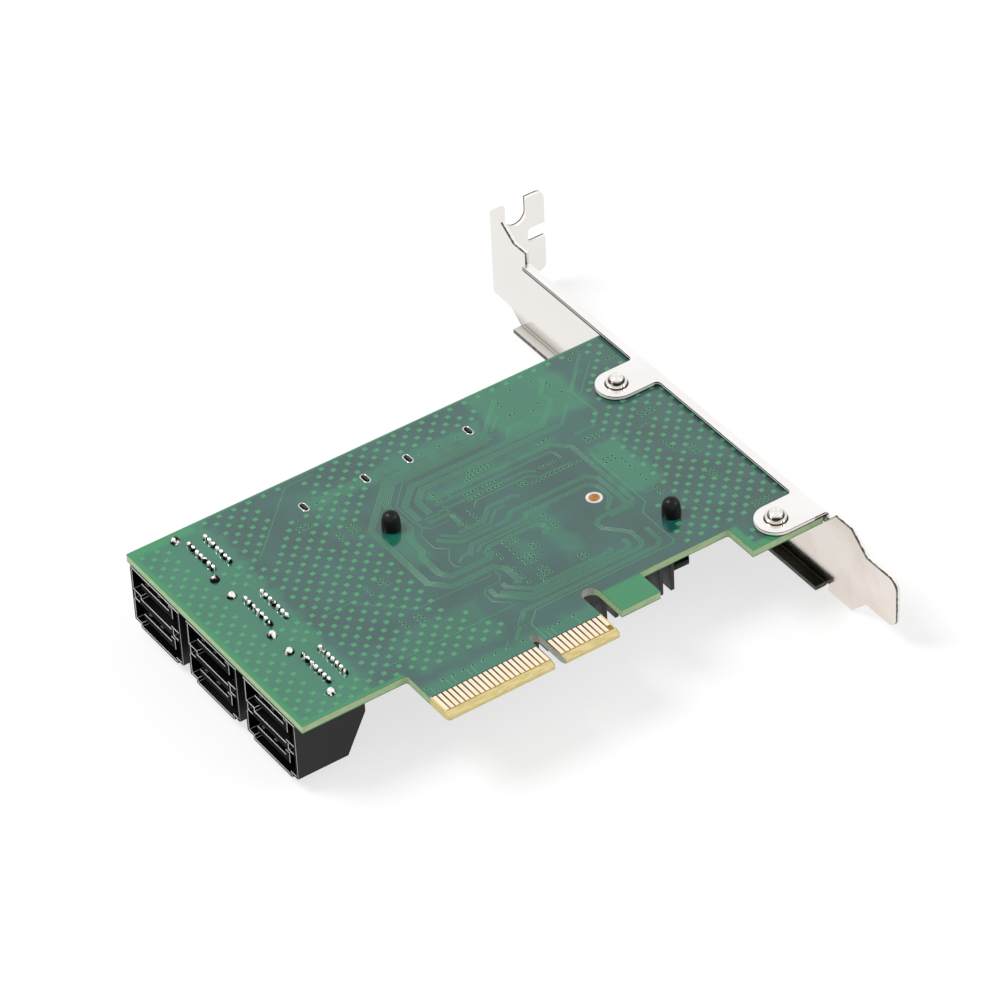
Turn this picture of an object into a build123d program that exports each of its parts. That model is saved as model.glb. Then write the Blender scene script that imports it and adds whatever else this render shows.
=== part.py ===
from build123d import *
import math
import os

os.makedirs("parts", exist_ok=True)

# SATA controller card, in millimetres.
# Origin: centre of the key notch, lower edge of the tongue, solder-side face of the board.
# +X runs along the board to the bracket, +Y away from the contacts, +Z out of the solder side.

# Circuit board
board_t = 1.6
board_left = -42.75
board_top = 67.05
left_low_edge = 12.5
mid_low_edge = 10.45
corner_r = 0.45

# Tongue and its contacts
contact_pitch = 1.0
contact_w = 0.7
contact_l = 4.0
contact_low = 1.45
contact_t = 0.05
short_by = 1.1
first_contact = 1.5
near_count = 11
far_count = 21
tongue_margin = 0.3
key_w = 1.9
key_top = 8.2
bevel_h = 1.3
bevel_d = 0.5

# Round-topped notch, square tab and foot
notch_w = 3.3
notch_top = 12.35
tab_w = 7.95
tab_low = 4.3
foot_gap = 18.6
foot_low = 3.45

# Bracket, one folded sheet
sheet = 0.86
bend_in = 0.2
bracket_x = 57.0
bracket_top = 103.6
bracket_length = 120.02
end_w = 17.7
top_rise = 5.1
low_rise = 1.8
channel_w = 16.42
lip_reach = 1.3
return_reach = 2.05
head_l = 12.6
head_neck = 4.2
head_slope = 3.7
head_drop = 2.6
heel_l = 11.4
heel_slope = 4.2
relief = 0.9
ear_bend_r = 0.9
flange_l = 11.8
screw_notch_w = 4.65
screw_notch_depth = 5.25
screw_notch_x = 4.7
side_slot_w = 3.15
side_slot_depth = 3.8
side_slot_z = -3.6
tongue_w = 10.19
tongue_l = 8.2
tongue_drop = 3.6
tip_r = 2.2

# Bracket tabs, tapped collars and screws
ear_w = 7.6
ear_reach = 7.5
ear_pitch = 46.25
collar_d = 3.8
collar_h = 0.7
screw_d = 2.9
thread_gap = 0.05
screw_hole_gap = 0.2
screw_tip = 2.4
head_d = 5.5
head_h = 1.9
screw_bevel = 0.35
recess_l = 3.2
recess_w = 0.7
recess_h = 1.6

# Stacked SATA sockets
stack_pitch = 17.8
stack_first_y = 58.5
stack_count = 3
stack_w = 15.5
stack_shift = -0.35
stack_proud = 0.25
stack_depth = 13.9
stack_h = 11.85
stack_bend = 4.1
stack_foot_depth = 10.0
skirt_w = 11.8
skirt_h = 0.8
wall = 0.55
roof = 0.45
port_step = 6.8
port_depth = 6.2
port_h = 4.35
port_recess_h = 0.8
port_recess_w = 9.6
key_pocket = 1.4
row_a = 9.87
row_step = 3.27
pin_pitch = 1.27
pin_w = 0.8
pin_t = 0.2
pins = 7
blade_w = 10.0
blade_t = 1.23
blade_back = 0.5
blade_shift = -0.1
blade_drop = 2.57
blade_key_h = 2.4
pin_back = 1.0
signal_back = 0.5
lock_x = 8.63
lock_step = 12.56
lock_w = 1.2
lock_t = 0.5
pin_hole_d = 1.0
lock_hole_d = 1.85
joint_h = 0.8
joint_d = 1.16
joint_taper = 16
lock_joint_d = 1.9

# Single SATA plugs on the top edge of the hidden side
top_plug_x = (-5.7, 15.73)
top_plug_w = 15.4
top_plug_depth = 10.1
top_plug_h = 5.6
top_plug_proud = 0.35
top_port_depth = 6.0
top_slot_y = 59.1
top_slot_l = 2.1
top_slot_w = 0.85
top_slot_step = 12.6
slot_ring = 0.3
slot_ring_t = 0.05
top_blade_w = 1.7
top_blade_t = 0.4
foot_l = 1.4

# Controller, heatsink and push pins
chip_x = 16.75
chip_y = 32.4
substrate_w = 27.0
substrate_t = 1.1
cap_w = 21.0
cap_t = 0.9
pad_w = 20.0
pad_t = 0.3
sink_w = 33.5
sink_l = 35.8
sink_base = 2.0
fin_h = 5.85
fin_t = 0.75
fin_l = 2.6
fin_columns = 15
fin_rows = 8
pin_out = 3.17
pin_in = 4.9
ear_r = 4.0
ear_t = 1.4
ear_bore = 3.6
shaft_d = 3.0
pin_hole_gap = 0.15
barb_d = 3.5
barb_h = 3.6
barb_gap = 0.1
split_w = 0.45
split_depth = 2.0
spring_h = 3.4
spring_r = 2.3
spring_wire = 0.5
spring_turns = 3
spring_sides = 8
pin_head_r = 3.2
pin_head_h = 1.2
pin_head_turn = -31.8

# Small parts on the hidden side
flash_at = (-17.0, 30.0)
crystal_at = (-12.0, 17.5)
regulators_at = ((45.0, 42.0), (45.0, 30.0))
inductors_at = ((-19.0, 50.0), (46.0, 18.0))
tantalums_at = ((-22.0, 39.0), (-15.0, 39.0), (32.0, 61.0), (38.0, 61.0))
resistor_packs_at = ((-20.0, 20.0), (-20.0, 16.0), (44.0, 57.0), (44.0, 53.6))
coupling_at = (-10.0, 10.3)
coupling_count = 8
coupling_pitch = 2.5
bypass_at = (-24.0, 25.0)
bypass_count = 6
bypass_pitch = 3.4

# Bare copper mark
mark_at = (28.82, 30.96)
mark_d = 3.0
mark_dot_d = 2.0
mark_t = 0.05

# Places worked out from the values above
under = -board_t
board_right = bracket_x - bend_in
tip_y = bracket_top - bracket_length
step_y = tip_y + tongue_l
body_low = step_y + heel_l
body_high = bracket_top - head_l
ear_low_y = body_low + ear_w / 2
ear_high_y = ear_low_y + ear_pitch
key_half = key_w / 2
near_end = first_contact + (near_count - 1) * contact_pitch + contact_w / 2
far_end = -(first_contact + (far_count - 1) * contact_pitch + contact_w / 2)
tongue_right = near_end + tongue_margin
tongue_left = far_end - tongue_margin
tab_left = tongue_right + notch_w
tab_right = tab_left + tab_w
foot_left = tab_right + foot_gap
notch_r = notch_w / 2
ear_x = bracket_x - ear_reach
stack_front = board_left - stack_proud
stack_rear = stack_front + stack_depth
stack_low = under - stack_h
row_a_x = stack_front + row_a
row_b_x = row_a_x + row_step
stack_lock_x = stack_front + lock_x
stack_rows = [stack_first_y - i * stack_pitch for i in range(stack_count)]
pin_offsets = [(i - (pins - 1) / 2) * pin_pitch for i in range(pins)]
blade_top = under - blade_drop
top_front = board_top + top_plug_proud
top_rear = top_front - top_plug_depth
chip_low = under - substrate_t - cap_t
sink_top = chip_low - pad_t
sink_under = sink_top - sink_base
ear_under = sink_top - ear_t
spring_low = ear_under - spring_h
shaft_hole_d = shaft_d + 2 * pin_hole_gap
pin_x = (chip_x - sink_w / 2 - pin_out, chip_x + sink_w / 2 + pin_out)
pin_y = (chip_y + sink_l / 2 - pin_in, chip_y - sink_l / 2 + pin_in)


def oval(length, width):
    """Corners of an upright oval whose ends have four sides each."""
    r = width / 2
    corner = r / math.cos(math.pi / 8)
    turns = [math.pi / 8 * k for k in (1, 3, 5, 7, 9, 11, 13, 15)]
    rise = length / 2 - r
    return [
        (corner * math.cos(a), corner * math.sin(a) + math.copysign(rise, math.sin(a))) for a in turns
    ]


# Circuit board with all its holes
with BuildPart() as circuit_board:
    with BuildSketch():
        with BuildLine():
            Polyline(
                (board_left, board_top),
                (board_left, left_low_edge),
                (tongue_left, left_low_edge),
                (tongue_left, 0),
                (-key_half, 0),
                (-key_half, key_top - key_half),
            )
            ThreePointArc(
                (-key_half, key_top - key_half), (0, key_top), (key_half, key_top - key_half)
            )
            Polyline(
                (key_half, key_top - key_half),
                (key_half, 0),
                (tongue_right, 0),
                (tongue_right, notch_top - notch_r),
            )
            ThreePointArc(
                (tongue_right, notch_top - notch_r),
                (tongue_right + notch_r, notch_top),
                (tab_left, notch_top - notch_r),
            )
            Polyline(
                (tab_left, notch_top - notch_r),
                (tab_left, tab_low),
                (tab_right, tab_low),
                (tab_right, mid_low_edge),
                (foot_left, mid_low_edge),
                (foot_left, foot_low),
                (board_right, foot_low),
                (board_right, board_top),
                (board_left, board_top),
            )
        make_face()
        rounded = [
            v for v in vertices()
            if abs(v.X - tongue_left) < 0.01
            or (v.Y < 0.01 and v.X > tongue_left)
            or (abs(v.Y - mid_low_edge) < 0.01)
        ]
        fillet(rounded, corner_r)
    extrude(amount=-board_t)
    # bevels along the lower edge of the tongue
    with BuildSketch(Plane.YZ.offset(tongue_left)):
        with BuildLine():
            Polyline((0, 0), (bevel_h, 0), (0, -bevel_d), (0, 0))
        make_face()
        with BuildLine():
            Polyline((0, under), (bevel_h, under), (0, under + bevel_d), (0, under))
        make_face()
    extrude(amount=tongue_right - tongue_left, mode=Mode.SUBTRACT)
    with BuildSketch():
        for row_y in stack_rows:
            with Locations(*[(x, row_y + o) for x in (row_a_x, row_b_x) for o in pin_offsets]):
                RegularPolygon(pin_hole_d / 2, 6)
            with Locations(*[(stack_lock_x, row_y + s * lock_step / 2) for s in (-1, 1)]):
                RegularPolygon(lock_hole_d / 2, 12)
        with Locations((ear_x, ear_low_y), (ear_x, ear_high_y)):
            RegularPolygon(screw_d / 2 + screw_hole_gap, 16)
        with Locations(*zip(pin_x, pin_y)):
            RegularPolygon(shaft_hole_d / 2, 16)
        with Locations(*[(x + s * top_slot_step / 2, top_slot_y) for x in top_plug_x for s in (-1, 1)]):
            Polygon(*oval(top_slot_l, top_slot_w))
    extrude(amount=-board_t, mode=Mode.SUBTRACT)
circuit_board.part.label = "circuit_board"
export_step(circuit_board.part, "parts/circuit_board.step")


def contact_places(short_near, short_far):
    """Centre x and length of each pad on one face of the tongue."""
    for i in range(near_count):
        yield first_contact + i * contact_pitch, contact_l - (short_by if i == short_near else 0)
    for i in range(far_count):
        yield -first_contact - i * contact_pitch, contact_l - (short_by if i == short_far else 0)


# Contacts on the solder side, the last of them short
with BuildPart() as edge_contacts_solder_side:
    with BuildSketch():
        for x, length in contact_places(near_count - 1, -1):
            with Locations((x, contact_low + contact_l - length / 2)):
                Rectangle(contact_w, length)
    extrude(amount=contact_t)
edge_contacts_solder_side.part.label = "edge_contacts_solder_side"
export_step(edge_contacts_solder_side.part, "parts/edge_contacts_solder_side.step")

# Contacts on the component side
with BuildPart() as edge_contacts_component_side:
    with BuildSketch(Plane.XY.offset(under)):
        for x, length in contact_places(-1, far_count - 2):
            with Locations((x, contact_low + contact_l - length / 2)):
                Rectangle(contact_w, length)
    extrude(amount=-contact_t)
edge_contacts_component_side.part.label = "edge_contacts_component_side"
export_step(edge_contacts_component_side.part, "parts/edge_contacts_component_side.step")


# Bracket: plate, fold for the screw flange, lip with two tabs, return flange
outer_x = bracket_x + sheet
flange_under = bracket_top - sheet
bend_out = bend_in + sheet
bend_mid = bend_in + sheet / 2
plate_mid = bracket_x + sheet / 2
lap = 0.3
channel_low = sheet - channel_w
top_floor = top_rise - end_w
low_floor = low_rise - end_w
tongue_high = low_rise - tongue_drop
tongue_low = tongue_high - tongue_w
shoulder = tongue_low - low_floor

with BuildPart() as bracket:
    with BuildSketch(Plane.YZ.offset(bracket_x)):
        with BuildLine():
            Polyline(
                (flange_under - bend_in, top_rise),
                (bracket_top - head_neck, top_rise),
                (bracket_top - head_neck - head_slope, top_rise - head_drop),
                (body_high + relief, top_rise - head_drop),
                (body_high + relief, -bend_in),
                (body_low - relief, -bend_in),
                (body_low - 3 * relief, low_rise),
                (step_y + heel_slope, low_rise),
                (step_y, tongue_high),
                (tip_y, tongue_high),
                (tip_y, tongue_low),
                (step_y, tongue_low),
                (step_y + shoulder, low_floor),
                (body_low - relief, low_floor),
                (body_low - relief, channel_low + bend_out),
                (body_high + 3 * relief, channel_low + bend_out),
                (body_high + 3 * relief, channel_low),
                (bracket_top - head_l / 2, top_floor),
                (flange_under - bend_in, top_floor),
                (flange_under - bend_in, top_rise),
            )
        make_face()
        fillet(vertices().filter_by_position(Axis.X, tip_y - 0.1, tip_y + 0.1), tip_r)
    extrude(amount=sheet)
    # screw flange, folded away from the board
    with BuildSketch(Plane.XY.offset(top_floor)):
        with BuildLine():
            FilletPolyline(
                (plate_mid, flange_under - bend_in - lap),
                (plate_mid, bracket_top - sheet / 2),
                (outer_x + flange_l - sheet, bracket_top - sheet / 2),
                radius=bend_mid,
            )
        trace(line_width=sheet)
    extrude(amount=end_w)
    flange_end = outer_x + flange_l - sheet
    flange_corners = (
        edges().filter_by(Axis.Y).filter_by_position(Axis.X, flange_end - 0.1, flange_end + 0.1)
    )
    fillet(flange_corners, 1.5)
    with BuildSketch(Plane.XZ.offset(-bracket_top)):
        with Locations((outer_x + screw_notch_x, top_rise)):
            SlotOverall(2 * screw_notch_depth, screw_notch_w, rotation=90)
        with Locations((flange_end, side_slot_z)):
            RectangleRounded(2 * side_slot_depth, side_slot_w, 0.9)
    extrude(amount=sheet, mode=Mode.SUBTRACT)
    # lip that lies on the board
    with BuildSketch(Plane.XZ.offset(-body_high)):
        with BuildLine():
            FilletPolyline(
                (bracket_x - lip_reach, sheet / 2),
                (plate_mid, sheet / 2),
                (plate_mid, -bend_in - lap),
                radius=bend_mid,
            )
        trace(line_width=sheet)
    extrude(amount=body_high - body_low)
    # return flange along the other side
    with BuildSketch(Plane.XZ.offset(-body_high - 3 * relief)):
        with BuildLine():
            FilletPolyline(
                (bracket_x - return_reach, channel_low + sheet / 2),
                (plate_mid, channel_low + sheet / 2),
                (plate_mid, channel_low + bend_out + lap),
                radius=bend_mid,
            )
        trace(line_width=sheet)
    extrude(amount=body_high + 3 * relief - body_low)
    # round-ended tabs with tapped collars
    with BuildSketch():
        with Locations(*[((ear_x + bracket_x - lip_reach) / 2 + 0.2, y) for y in (ear_low_y, ear_high_y)]):
            Rectangle(bracket_x - lip_reach - ear_x + 0.4, ear_w)
        with Locations((ear_x, ear_low_y), (ear_x, ear_high_y)):
            Circle(ear_w / 2)
    extrude(amount=sheet)
    inner_corners = [
        e for e in edges().filter_by(Axis.Z)
        if abs(e.center().X - (bracket_x - lip_reach)) < 0.01
        and body_low + ear_w / 2 < e.center().Y < body_high - ear_w / 2
    ]
    fillet(inner_corners, ear_bend_r)
    with BuildSketch(Plane.XY.offset(sheet)):
        with Locations((ear_x, ear_low_y), (ear_x, ear_high_y)):
            Circle(collar_d / 2)
    extrude(amount=collar_h)
    with Locations((ear_x, ear_low_y, 0), (ear_x, ear_high_y, 0)):
        Cylinder(
            screw_d / 2 + thread_gap,
            sheet + collar_h,
            align=(Align.CENTER, Align.CENTER, Align.MIN),
            mode=Mode.SUBTRACT,
        )
bracket.part.label = "bracket"
export_step(bracket.part, "parts/bracket.step")

# Two screws from the component side, their tips above the collars
screw_steps = (
    (under - head_h, head_d * 0.32),
    (under - head_h * 0.45, head_d / 2),
    (under, head_d / 2),
    (under, screw_d / 2),
    (screw_tip - screw_bevel, screw_d / 2),
    (screw_tip, screw_d / 2 - screw_bevel),
)
with BuildPart() as bracket_screws:
    for y in (ear_low_y, ear_high_y):
        for (low_z, low_r), (high_z, high_r) in zip(screw_steps, screw_steps[1:]):
            if high_z > low_z:
                with BuildSketch(Plane.XY.offset(low_z)):
                    with Locations((ear_x, y)):
                        RegularPolygon(low_r, 14)
                with BuildSketch(Plane.XY.offset(high_z)):
                    with Locations((ear_x, y)):
                        RegularPolygon(high_r, 14)
                loft(ruled=True)
        with Locations((ear_x, y, under - head_h)):
            Box(recess_l, recess_w, recess_h, mode=Mode.SUBTRACT)
            Box(recess_w, recess_l, recess_h, mode=Mode.SUBTRACT)
bracket_screws.part.label = "bracket_screws"
export_step(bracket_screws.part, "parts/bracket_screws.step")


# Bent contacts of the stacked sockets, lower port on the outer row
slant = (stack_depth - stack_foot_depth) / (stack_h - stack_bend)
with BuildPart() as sata_stack_contacts:
    for row_y in stack_rows:
        for i, offset_y in enumerate(pin_offsets):
            back = pin_back + (0 if i in (0, 3, 6) else signal_back)
            with BuildSketch(Plane.XZ.offset(-(row_y + offset_y + pin_w / 2))):
                with BuildLine():
                    Polyline(
                        (stack_front + back, blade_top + pin_t / 2),
                        (row_a_x, blade_top + pin_t / 2),
                        (row_a_x, 0),
                    )
                trace(line_width=pin_t)
                low_z = blade_top - port_step + pin_t / 2
                turn_z = blade_top + pin_t / 2
                with BuildLine():
                    Polyline(
                        (stack_front + back, low_z),
                        (row_b_x - slant * (turn_z - low_z), low_z),
                        (row_b_x, turn_z),
                        (row_b_x, 0),
                    )
                trace(line_width=pin_t)
            extrude(amount=pin_w)
sata_stack_contacts.part.label = "sata_stack_contacts"
export_step(sata_stack_contacts.part, "parts/sata_stack_contacts.step")

# Split metal board locks beside each group of contacts
with BuildPart() as sata_stack_board_locks:
    lock_h = board_t + 2.0
    with Locations(*[
        (stack_lock_x + s * 0.5 * (lock_t + 0.2), y + t * lock_step / 2, 0)
        for y in stack_rows for s in (-1, 1) for t in (-1, 1)
    ]):
        Box(lock_t, lock_w, lock_h, align=(Align.CENTER, Align.CENTER, Align.MAX))
    with Locations(*[
        (stack_lock_x, y + t * lock_step / 2, -lock_h) for y in stack_rows for t in (-1, 1)
    ]):
        Box(2 * lock_t + 0.2, lock_w, 0.4, align=(Align.CENTER, Align.CENTER, Align.MIN))
sata_stack_board_locks.part.label = "sata_stack_board_locks"
export_step(sata_stack_board_locks.part, "parts/sata_stack_board_locks.step")


def port(front_y, roof_z, recess_w, back, half_w):
    """Opening of one port: tall middle, shorter sides."""
    with Locations((stack_front, front_y, roof_z)):
        Box(back, 2 * half_w, port_h, align=(Align.MIN, Align.CENTER, Align.MAX), mode=Mode.SUBTRACT)
        Box(
            back, recess_w, port_h + port_recess_h,
            align=(Align.MIN, Align.CENTER, Align.MAX), mode=Mode.SUBTRACT,
        )


# Housings of the stacked sockets
with BuildPart() as sata_stack_housings:
    for row_y in stack_rows:
        mid_y = row_y + stack_shift
        with BuildSketch(Plane.XZ.offset(-(mid_y + stack_w / 2))):
            with BuildLine():
                Polyline(
                    (stack_front, under),
                    (stack_rear, under),
                    (stack_rear, under - stack_bend),
                    (stack_front + stack_foot_depth, stack_low),
                    (stack_front, stack_low),
                    (stack_front, under),
                )
            make_face()
        extrude(amount=stack_w)
        with Locations((stack_front, mid_y, stack_low)):
            Box(stack_foot_depth, skirt_w, skirt_h, align=(Align.MIN, Align.CENTER, Align.MAX))
        for step, recess_w in ((0, port_recess_w), (port_step - roof + 0.2, skirt_w - 0.8)):
            port(mid_y, under - roof - step, recess_w, port_depth, stack_w / 2 - wall)
        pocket_z = under - roof - port_h - 0.4
        with Locations(*[
            (stack_front, mid_y + s * (stack_w / 2 - wall - 1.0), pocket_z) for s in (-1, 1)
        ]):
            Box(
                key_pocket, key_pocket, key_pocket,
                align=(Align.MIN, Align.CENTER, Align.MAX), mode=Mode.SUBTRACT,
            )
        # blades with their short key leg
        for top_z in (blade_top, blade_top - port_step):
            with Locations((stack_front + blade_back, row_y + blade_shift, top_z)):
                Box(
                    port_depth - blade_back, blade_w, blade_t,
                    align=(Align.MIN, Align.CENTER, Align.MAX),
                )
            with Locations((
                stack_front + blade_back, row_y + blade_shift - blade_w / 2, top_z - blade_t
            )):
                Box(port_depth - blade_back, blade_t, blade_key_h, align=Align.MIN)
    add(sata_stack_contacts.part, mode=Mode.SUBTRACT)
    add(sata_stack_board_locks.part, mode=Mode.SUBTRACT)
sata_stack_housings.part.label = "sata_stack_housings"
export_step(sata_stack_housings.part, "parts/sata_stack_housings.step")

# Solder joints of the stacked sockets, tapering to the contact tails
with BuildPart() as sata_solder_joints:
    with BuildSketch():
        with Locations(*[
            (x, y + o) for y in stack_rows for x in (row_a_x, row_b_x) for o in pin_offsets
        ]):
            RegularPolygon(joint_d / 2, 6)
    extrude(amount=joint_h, taper=joint_taper)
    with BuildSketch():
        with Locations(*[(stack_lock_x, y + s * lock_step / 2) for y in stack_rows for s in (-1, 1)]):
            RegularPolygon(lock_joint_d / 2, 8)
    extrude(amount=joint_h, taper=joint_taper)
sata_solder_joints.part.label = "sata_solder_joints"
export_step(sata_solder_joints.part, "parts/sata_solder_joints.step")


# Single plugs: contacts bent down to pads on the board
top_blade_top = under - blade_drop
with BuildPart() as top_sata_contacts:
    for plug_x in top_plug_x:
        for offset_x in pin_offsets:
            with BuildSketch(Plane.YZ.offset(plug_x + offset_x - pin_w / 2)):
                with BuildLine():
                    Polyline(
                        (top_front - pin_back, top_blade_top + pin_t / 2),
                        (top_rear - pin_t / 2, top_blade_top + pin_t / 2),
                        (top_rear - pin_t / 2, under - pin_t / 2),
                        (top_rear - foot_l, under - pin_t / 2),
                    )
                trace(line_width=pin_t)
            extrude(amount=pin_w)
top_sata_contacts.part.label = "top_sata_contacts"
export_step(top_sata_contacts.part, "parts/top_sata_contacts.step")

# Flat board locks of the single plugs, in the oval slots
with BuildPart() as top_sata_board_locks:
    with Locations(*[
        (x + s * top_slot_step / 2, top_slot_y, 0.25) for x in top_plug_x for s in (-1, 1)
    ]):
        Box(
            top_blade_t, top_blade_w, board_t + 3.0 + 0.25,
            align=(Align.CENTER, Align.CENTER, Align.MAX),
        )
top_sata_board_locks.part.label = "top_sata_board_locks"
export_step(top_sata_board_locks.part, "parts/top_sata_board_locks.step")

# Housings of the single plugs, open at the top edge
with BuildPart() as top_sata_housings:
    for plug_x in top_plug_x:
        with Locations((plug_x, top_front, under)):
            Box(
                top_plug_w, top_plug_depth, top_plug_h,
                align=(Align.CENTER, Align.MAX, Align.MAX),
            )
        with Locations((plug_x, top_front, under - roof)):
            Box(
                top_plug_w - 2 * wall, top_port_depth, top_plug_h - 2 * roof,
                align=(Align.CENTER, Align.MAX, Align.MAX), mode=Mode.SUBTRACT,
            )
        with Locations((plug_x, top_front - blade_back, top_blade_top)):
            Box(
                blade_w, top_port_depth - blade_back, blade_t,
                align=(Align.CENTER, Align.MAX, Align.MAX),
            )
        with Locations((plug_x + blade_w / 2, top_front - blade_back, top_blade_top - blade_t)):
            Box(
                blade_t, top_port_depth - blade_back, blade_key_h,
                align=(Align.MAX, Align.MAX, Align.MIN),
            )
    add(top_sata_contacts.part, mode=Mode.SUBTRACT)
    add(top_sata_board_locks.part, mode=Mode.SUBTRACT)
top_sata_housings.part.label = "top_sata_housings"
export_step(top_sata_housings.part, "parts/top_sata_housings.step")

# Solder rings round the oval slots
with BuildPart() as top_slot_rings:
    with BuildSketch():
        with Locations(*[
            (x + s * top_slot_step / 2, top_slot_y) for x in top_plug_x for s in (-1, 1)
        ]):
            Polygon(*oval(top_slot_l + 2 * slot_ring, top_slot_w + 2 * slot_ring))
            Polygon(*oval(top_slot_l, top_slot_w), mode=Mode.SUBTRACT)
    extrude(amount=slot_ring_t)
top_slot_rings.part.label = "top_slot_rings"
export_step(top_slot_rings.part, "parts/top_slot_rings.step")


# Controller chip and thermal pad
with BuildPart() as controller_substrate:
    with Locations((chip_x, chip_y, under)):
        Box(
            substrate_w, substrate_w, substrate_t,
            align=(Align.CENTER, Align.CENTER, Align.MAX),
        )
controller_substrate.part.label = "controller_substrate"
export_step(controller_substrate.part, "parts/controller_substrate.step")

with BuildPart() as controller_cap:
    with Locations((chip_x, chip_y, under - substrate_t)):
        Box(cap_w, cap_w, cap_t, align=(Align.CENTER, Align.CENTER, Align.MAX))
    chamfer(edges().filter_by(Axis.Z), 1.0)
    chamfer(faces().sort_by(Axis.Z)[0].edges(), 0.4)
controller_cap.part.label = "controller_cap"
export_step(controller_cap.part, "parts/controller_cap.step")

with BuildPart() as thermal_pad:
    with Locations((chip_x, chip_y, chip_low)):
        Box(pad_w, pad_w, pad_t, align=(Align.CENTER, Align.CENTER, Align.MAX))
thermal_pad.part.label = "thermal_pad"
export_step(thermal_pad.part, "parts/thermal_pad.step")

# Heatsink: base with two ears and a field of cut fins
with BuildPart() as heatsink:
    with Locations((chip_x, chip_y, sink_top)):
        Box(sink_w, sink_l, sink_base, align=(Align.CENTER, Align.CENTER, Align.MAX))
    with BuildSketch(Plane.XY.offset(sink_top)):
        for x, y in zip(pin_x, pin_y):
            with Locations((x, y)):
                Circle(ear_r)
            with Locations(((x + chip_x) / 2, y)):
                Rectangle(abs(x - chip_x), 2 * ear_r)
    extrude(amount=-ear_t)
    with BuildSketch(Plane.XY.offset(sink_under)):
        with Locations((chip_x, chip_y)):
            with GridLocations(
                (sink_w - fin_t) / (fin_columns - 1), (sink_l - fin_l) / (fin_rows - 1),
                fin_columns, fin_rows,
            ):
                Rectangle(fin_t, fin_l)
    extrude(amount=-fin_h)
    with Locations(*[(x, y, sink_top) for x, y in zip(pin_x, pin_y)]):
        Cylinder(
            ear_bore / 2, ear_t, align=(Align.CENTER, Align.CENTER, Align.MAX), mode=Mode.SUBTRACT
        )
heatsink.part.label = "heatsink"
export_step(heatsink.part, "parts/heatsink.step")

# Push pins with a six-sided head, a shaft and a split barbed tip
barb_steps = (
    (barb_gap, barb_d / 2),
    (barb_h * 0.3, barb_d / 2),
    (barb_h * 0.62, barb_d * 0.42),
    (barb_h * 0.87, barb_d * 0.28),
    (barb_h, barb_d * 0.12),
)
with BuildPart() as push_pins:
    for x, y in zip(pin_x, pin_y):
        with BuildSketch(Plane.XY.offset(spring_low)):
            with Locations((x, y)):
                RegularPolygon(shaft_d / 2, 14)
        extrude(amount=barb_gap - spring_low)
        for (low_z, low_r), (high_z, high_r) in zip(barb_steps, barb_steps[1:]):
            with BuildSketch(Plane.XY.offset(low_z)):
                with Locations((x, y)):
                    RegularPolygon(low_r, 14)
            with BuildSketch(Plane.XY.offset(high_z)):
                with Locations((x, y)):
                    RegularPolygon(high_r, 14)
            loft(ruled=True)
        with BuildSketch(Plane.XY.offset(spring_low)):
            with Locations((x, y)):
                RegularPolygon(pin_head_r, 6, rotation=pin_head_turn)
        extrude(amount=-pin_head_h)
        with Locations((x, y, barb_h)):
            Box(
                split_w, barb_d + 1, barb_h + split_depth, rotation=(0, 0, pin_head_turn),
                align=(Align.CENTER, Align.CENTER, Align.MAX), mode=Mode.SUBTRACT,
            )
push_pins.part.label = "push_pins"
export_step(push_pins.part, "parts/push_pins.step")

# Springs between the ears and the pin heads
with BuildPart() as push_pin_springs:
    steps = spring_turns * spring_sides
    for x, y in zip(pin_x, pin_y):
        coil_points = []
        for i in range(steps + 1):
            turn = 2 * math.pi * i / spring_sides
            rise = (spring_h - 2 * spring_wire) * i / steps
            coil_points.append((
                x + spring_r * math.cos(turn),
                y + spring_r * math.sin(turn),
                spring_low + spring_wire + rise,
            ))
        with BuildLine() as coil:
            Polyline(*coil_points)
        with BuildSketch(Plane(coil.line @ 0, z_dir=coil.line % 0)):
            RegularPolygon(spring_wire / 2, 4)
        sweep(path=coil.line, transition=Transition.RIGHT)
push_pin_springs.part.label = "push_pin_springs"
export_step(push_pin_springs.part, "parts/push_pin_springs.step")


# Flash memory: body and gull-wing leads
flash_l = 4.9
flash_w = 3.9
flash_h = 1.4
flash_lift = 0.15
flash_span = 6.0
lead_t = 0.2
with BuildPart() as flash_memory_leads:
    for i in range(4):
        for s in (-1, 1):
            lead_y = flash_at[1] + (i - 1.5) * pin_pitch
            with BuildSketch(Plane.XZ.offset(-(lead_y + 0.2))):
                with BuildLine():
                    Polyline(
                        (flash_at[0] + s * (flash_w / 2 - 0.3), under - flash_lift - flash_h / 2),
                        (flash_at[0] + s * (flash_w / 2 + 0.35), under - flash_lift - flash_h / 2),
                        (flash_at[0] + s * (flash_span / 2 - 0.5), under - lead_t / 2),
                        (flash_at[0] + s * flash_span / 2, under - lead_t / 2),
                    )
                trace(line_width=lead_t)
            extrude(amount=0.4)
flash_memory_leads.part.label = "flash_memory_leads"
export_step(flash_memory_leads.part, "parts/flash_memory_leads.step")

with BuildPart() as flash_memory_body:
    with Locations((flash_at[0], flash_at[1], under - flash_lift)):
        Box(flash_w, flash_l, flash_h, align=(Align.CENTER, Align.CENTER, Align.MAX))
    chamfer(faces().sort_by(Axis.Z)[0].edges(), 0.3, 0.15)
    add(flash_memory_leads.part, mode=Mode.SUBTRACT)
flash_memory_body.part.label = "flash_memory_body"
export_step(flash_memory_body.part, "parts/flash_memory_body.step")

# Crystal: ceramic base and metal lid
crystal_l = 5.0
crystal_w = 3.2
with BuildPart() as crystal_base:
    with Locations((crystal_at[0], crystal_at[1], under)):
        Box(crystal_l, crystal_w, 0.6, align=(Align.CENTER, Align.CENTER, Align.MAX))
crystal_base.part.label = "crystal_base"
export_step(crystal_base.part, "parts/crystal_base.step")

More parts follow.
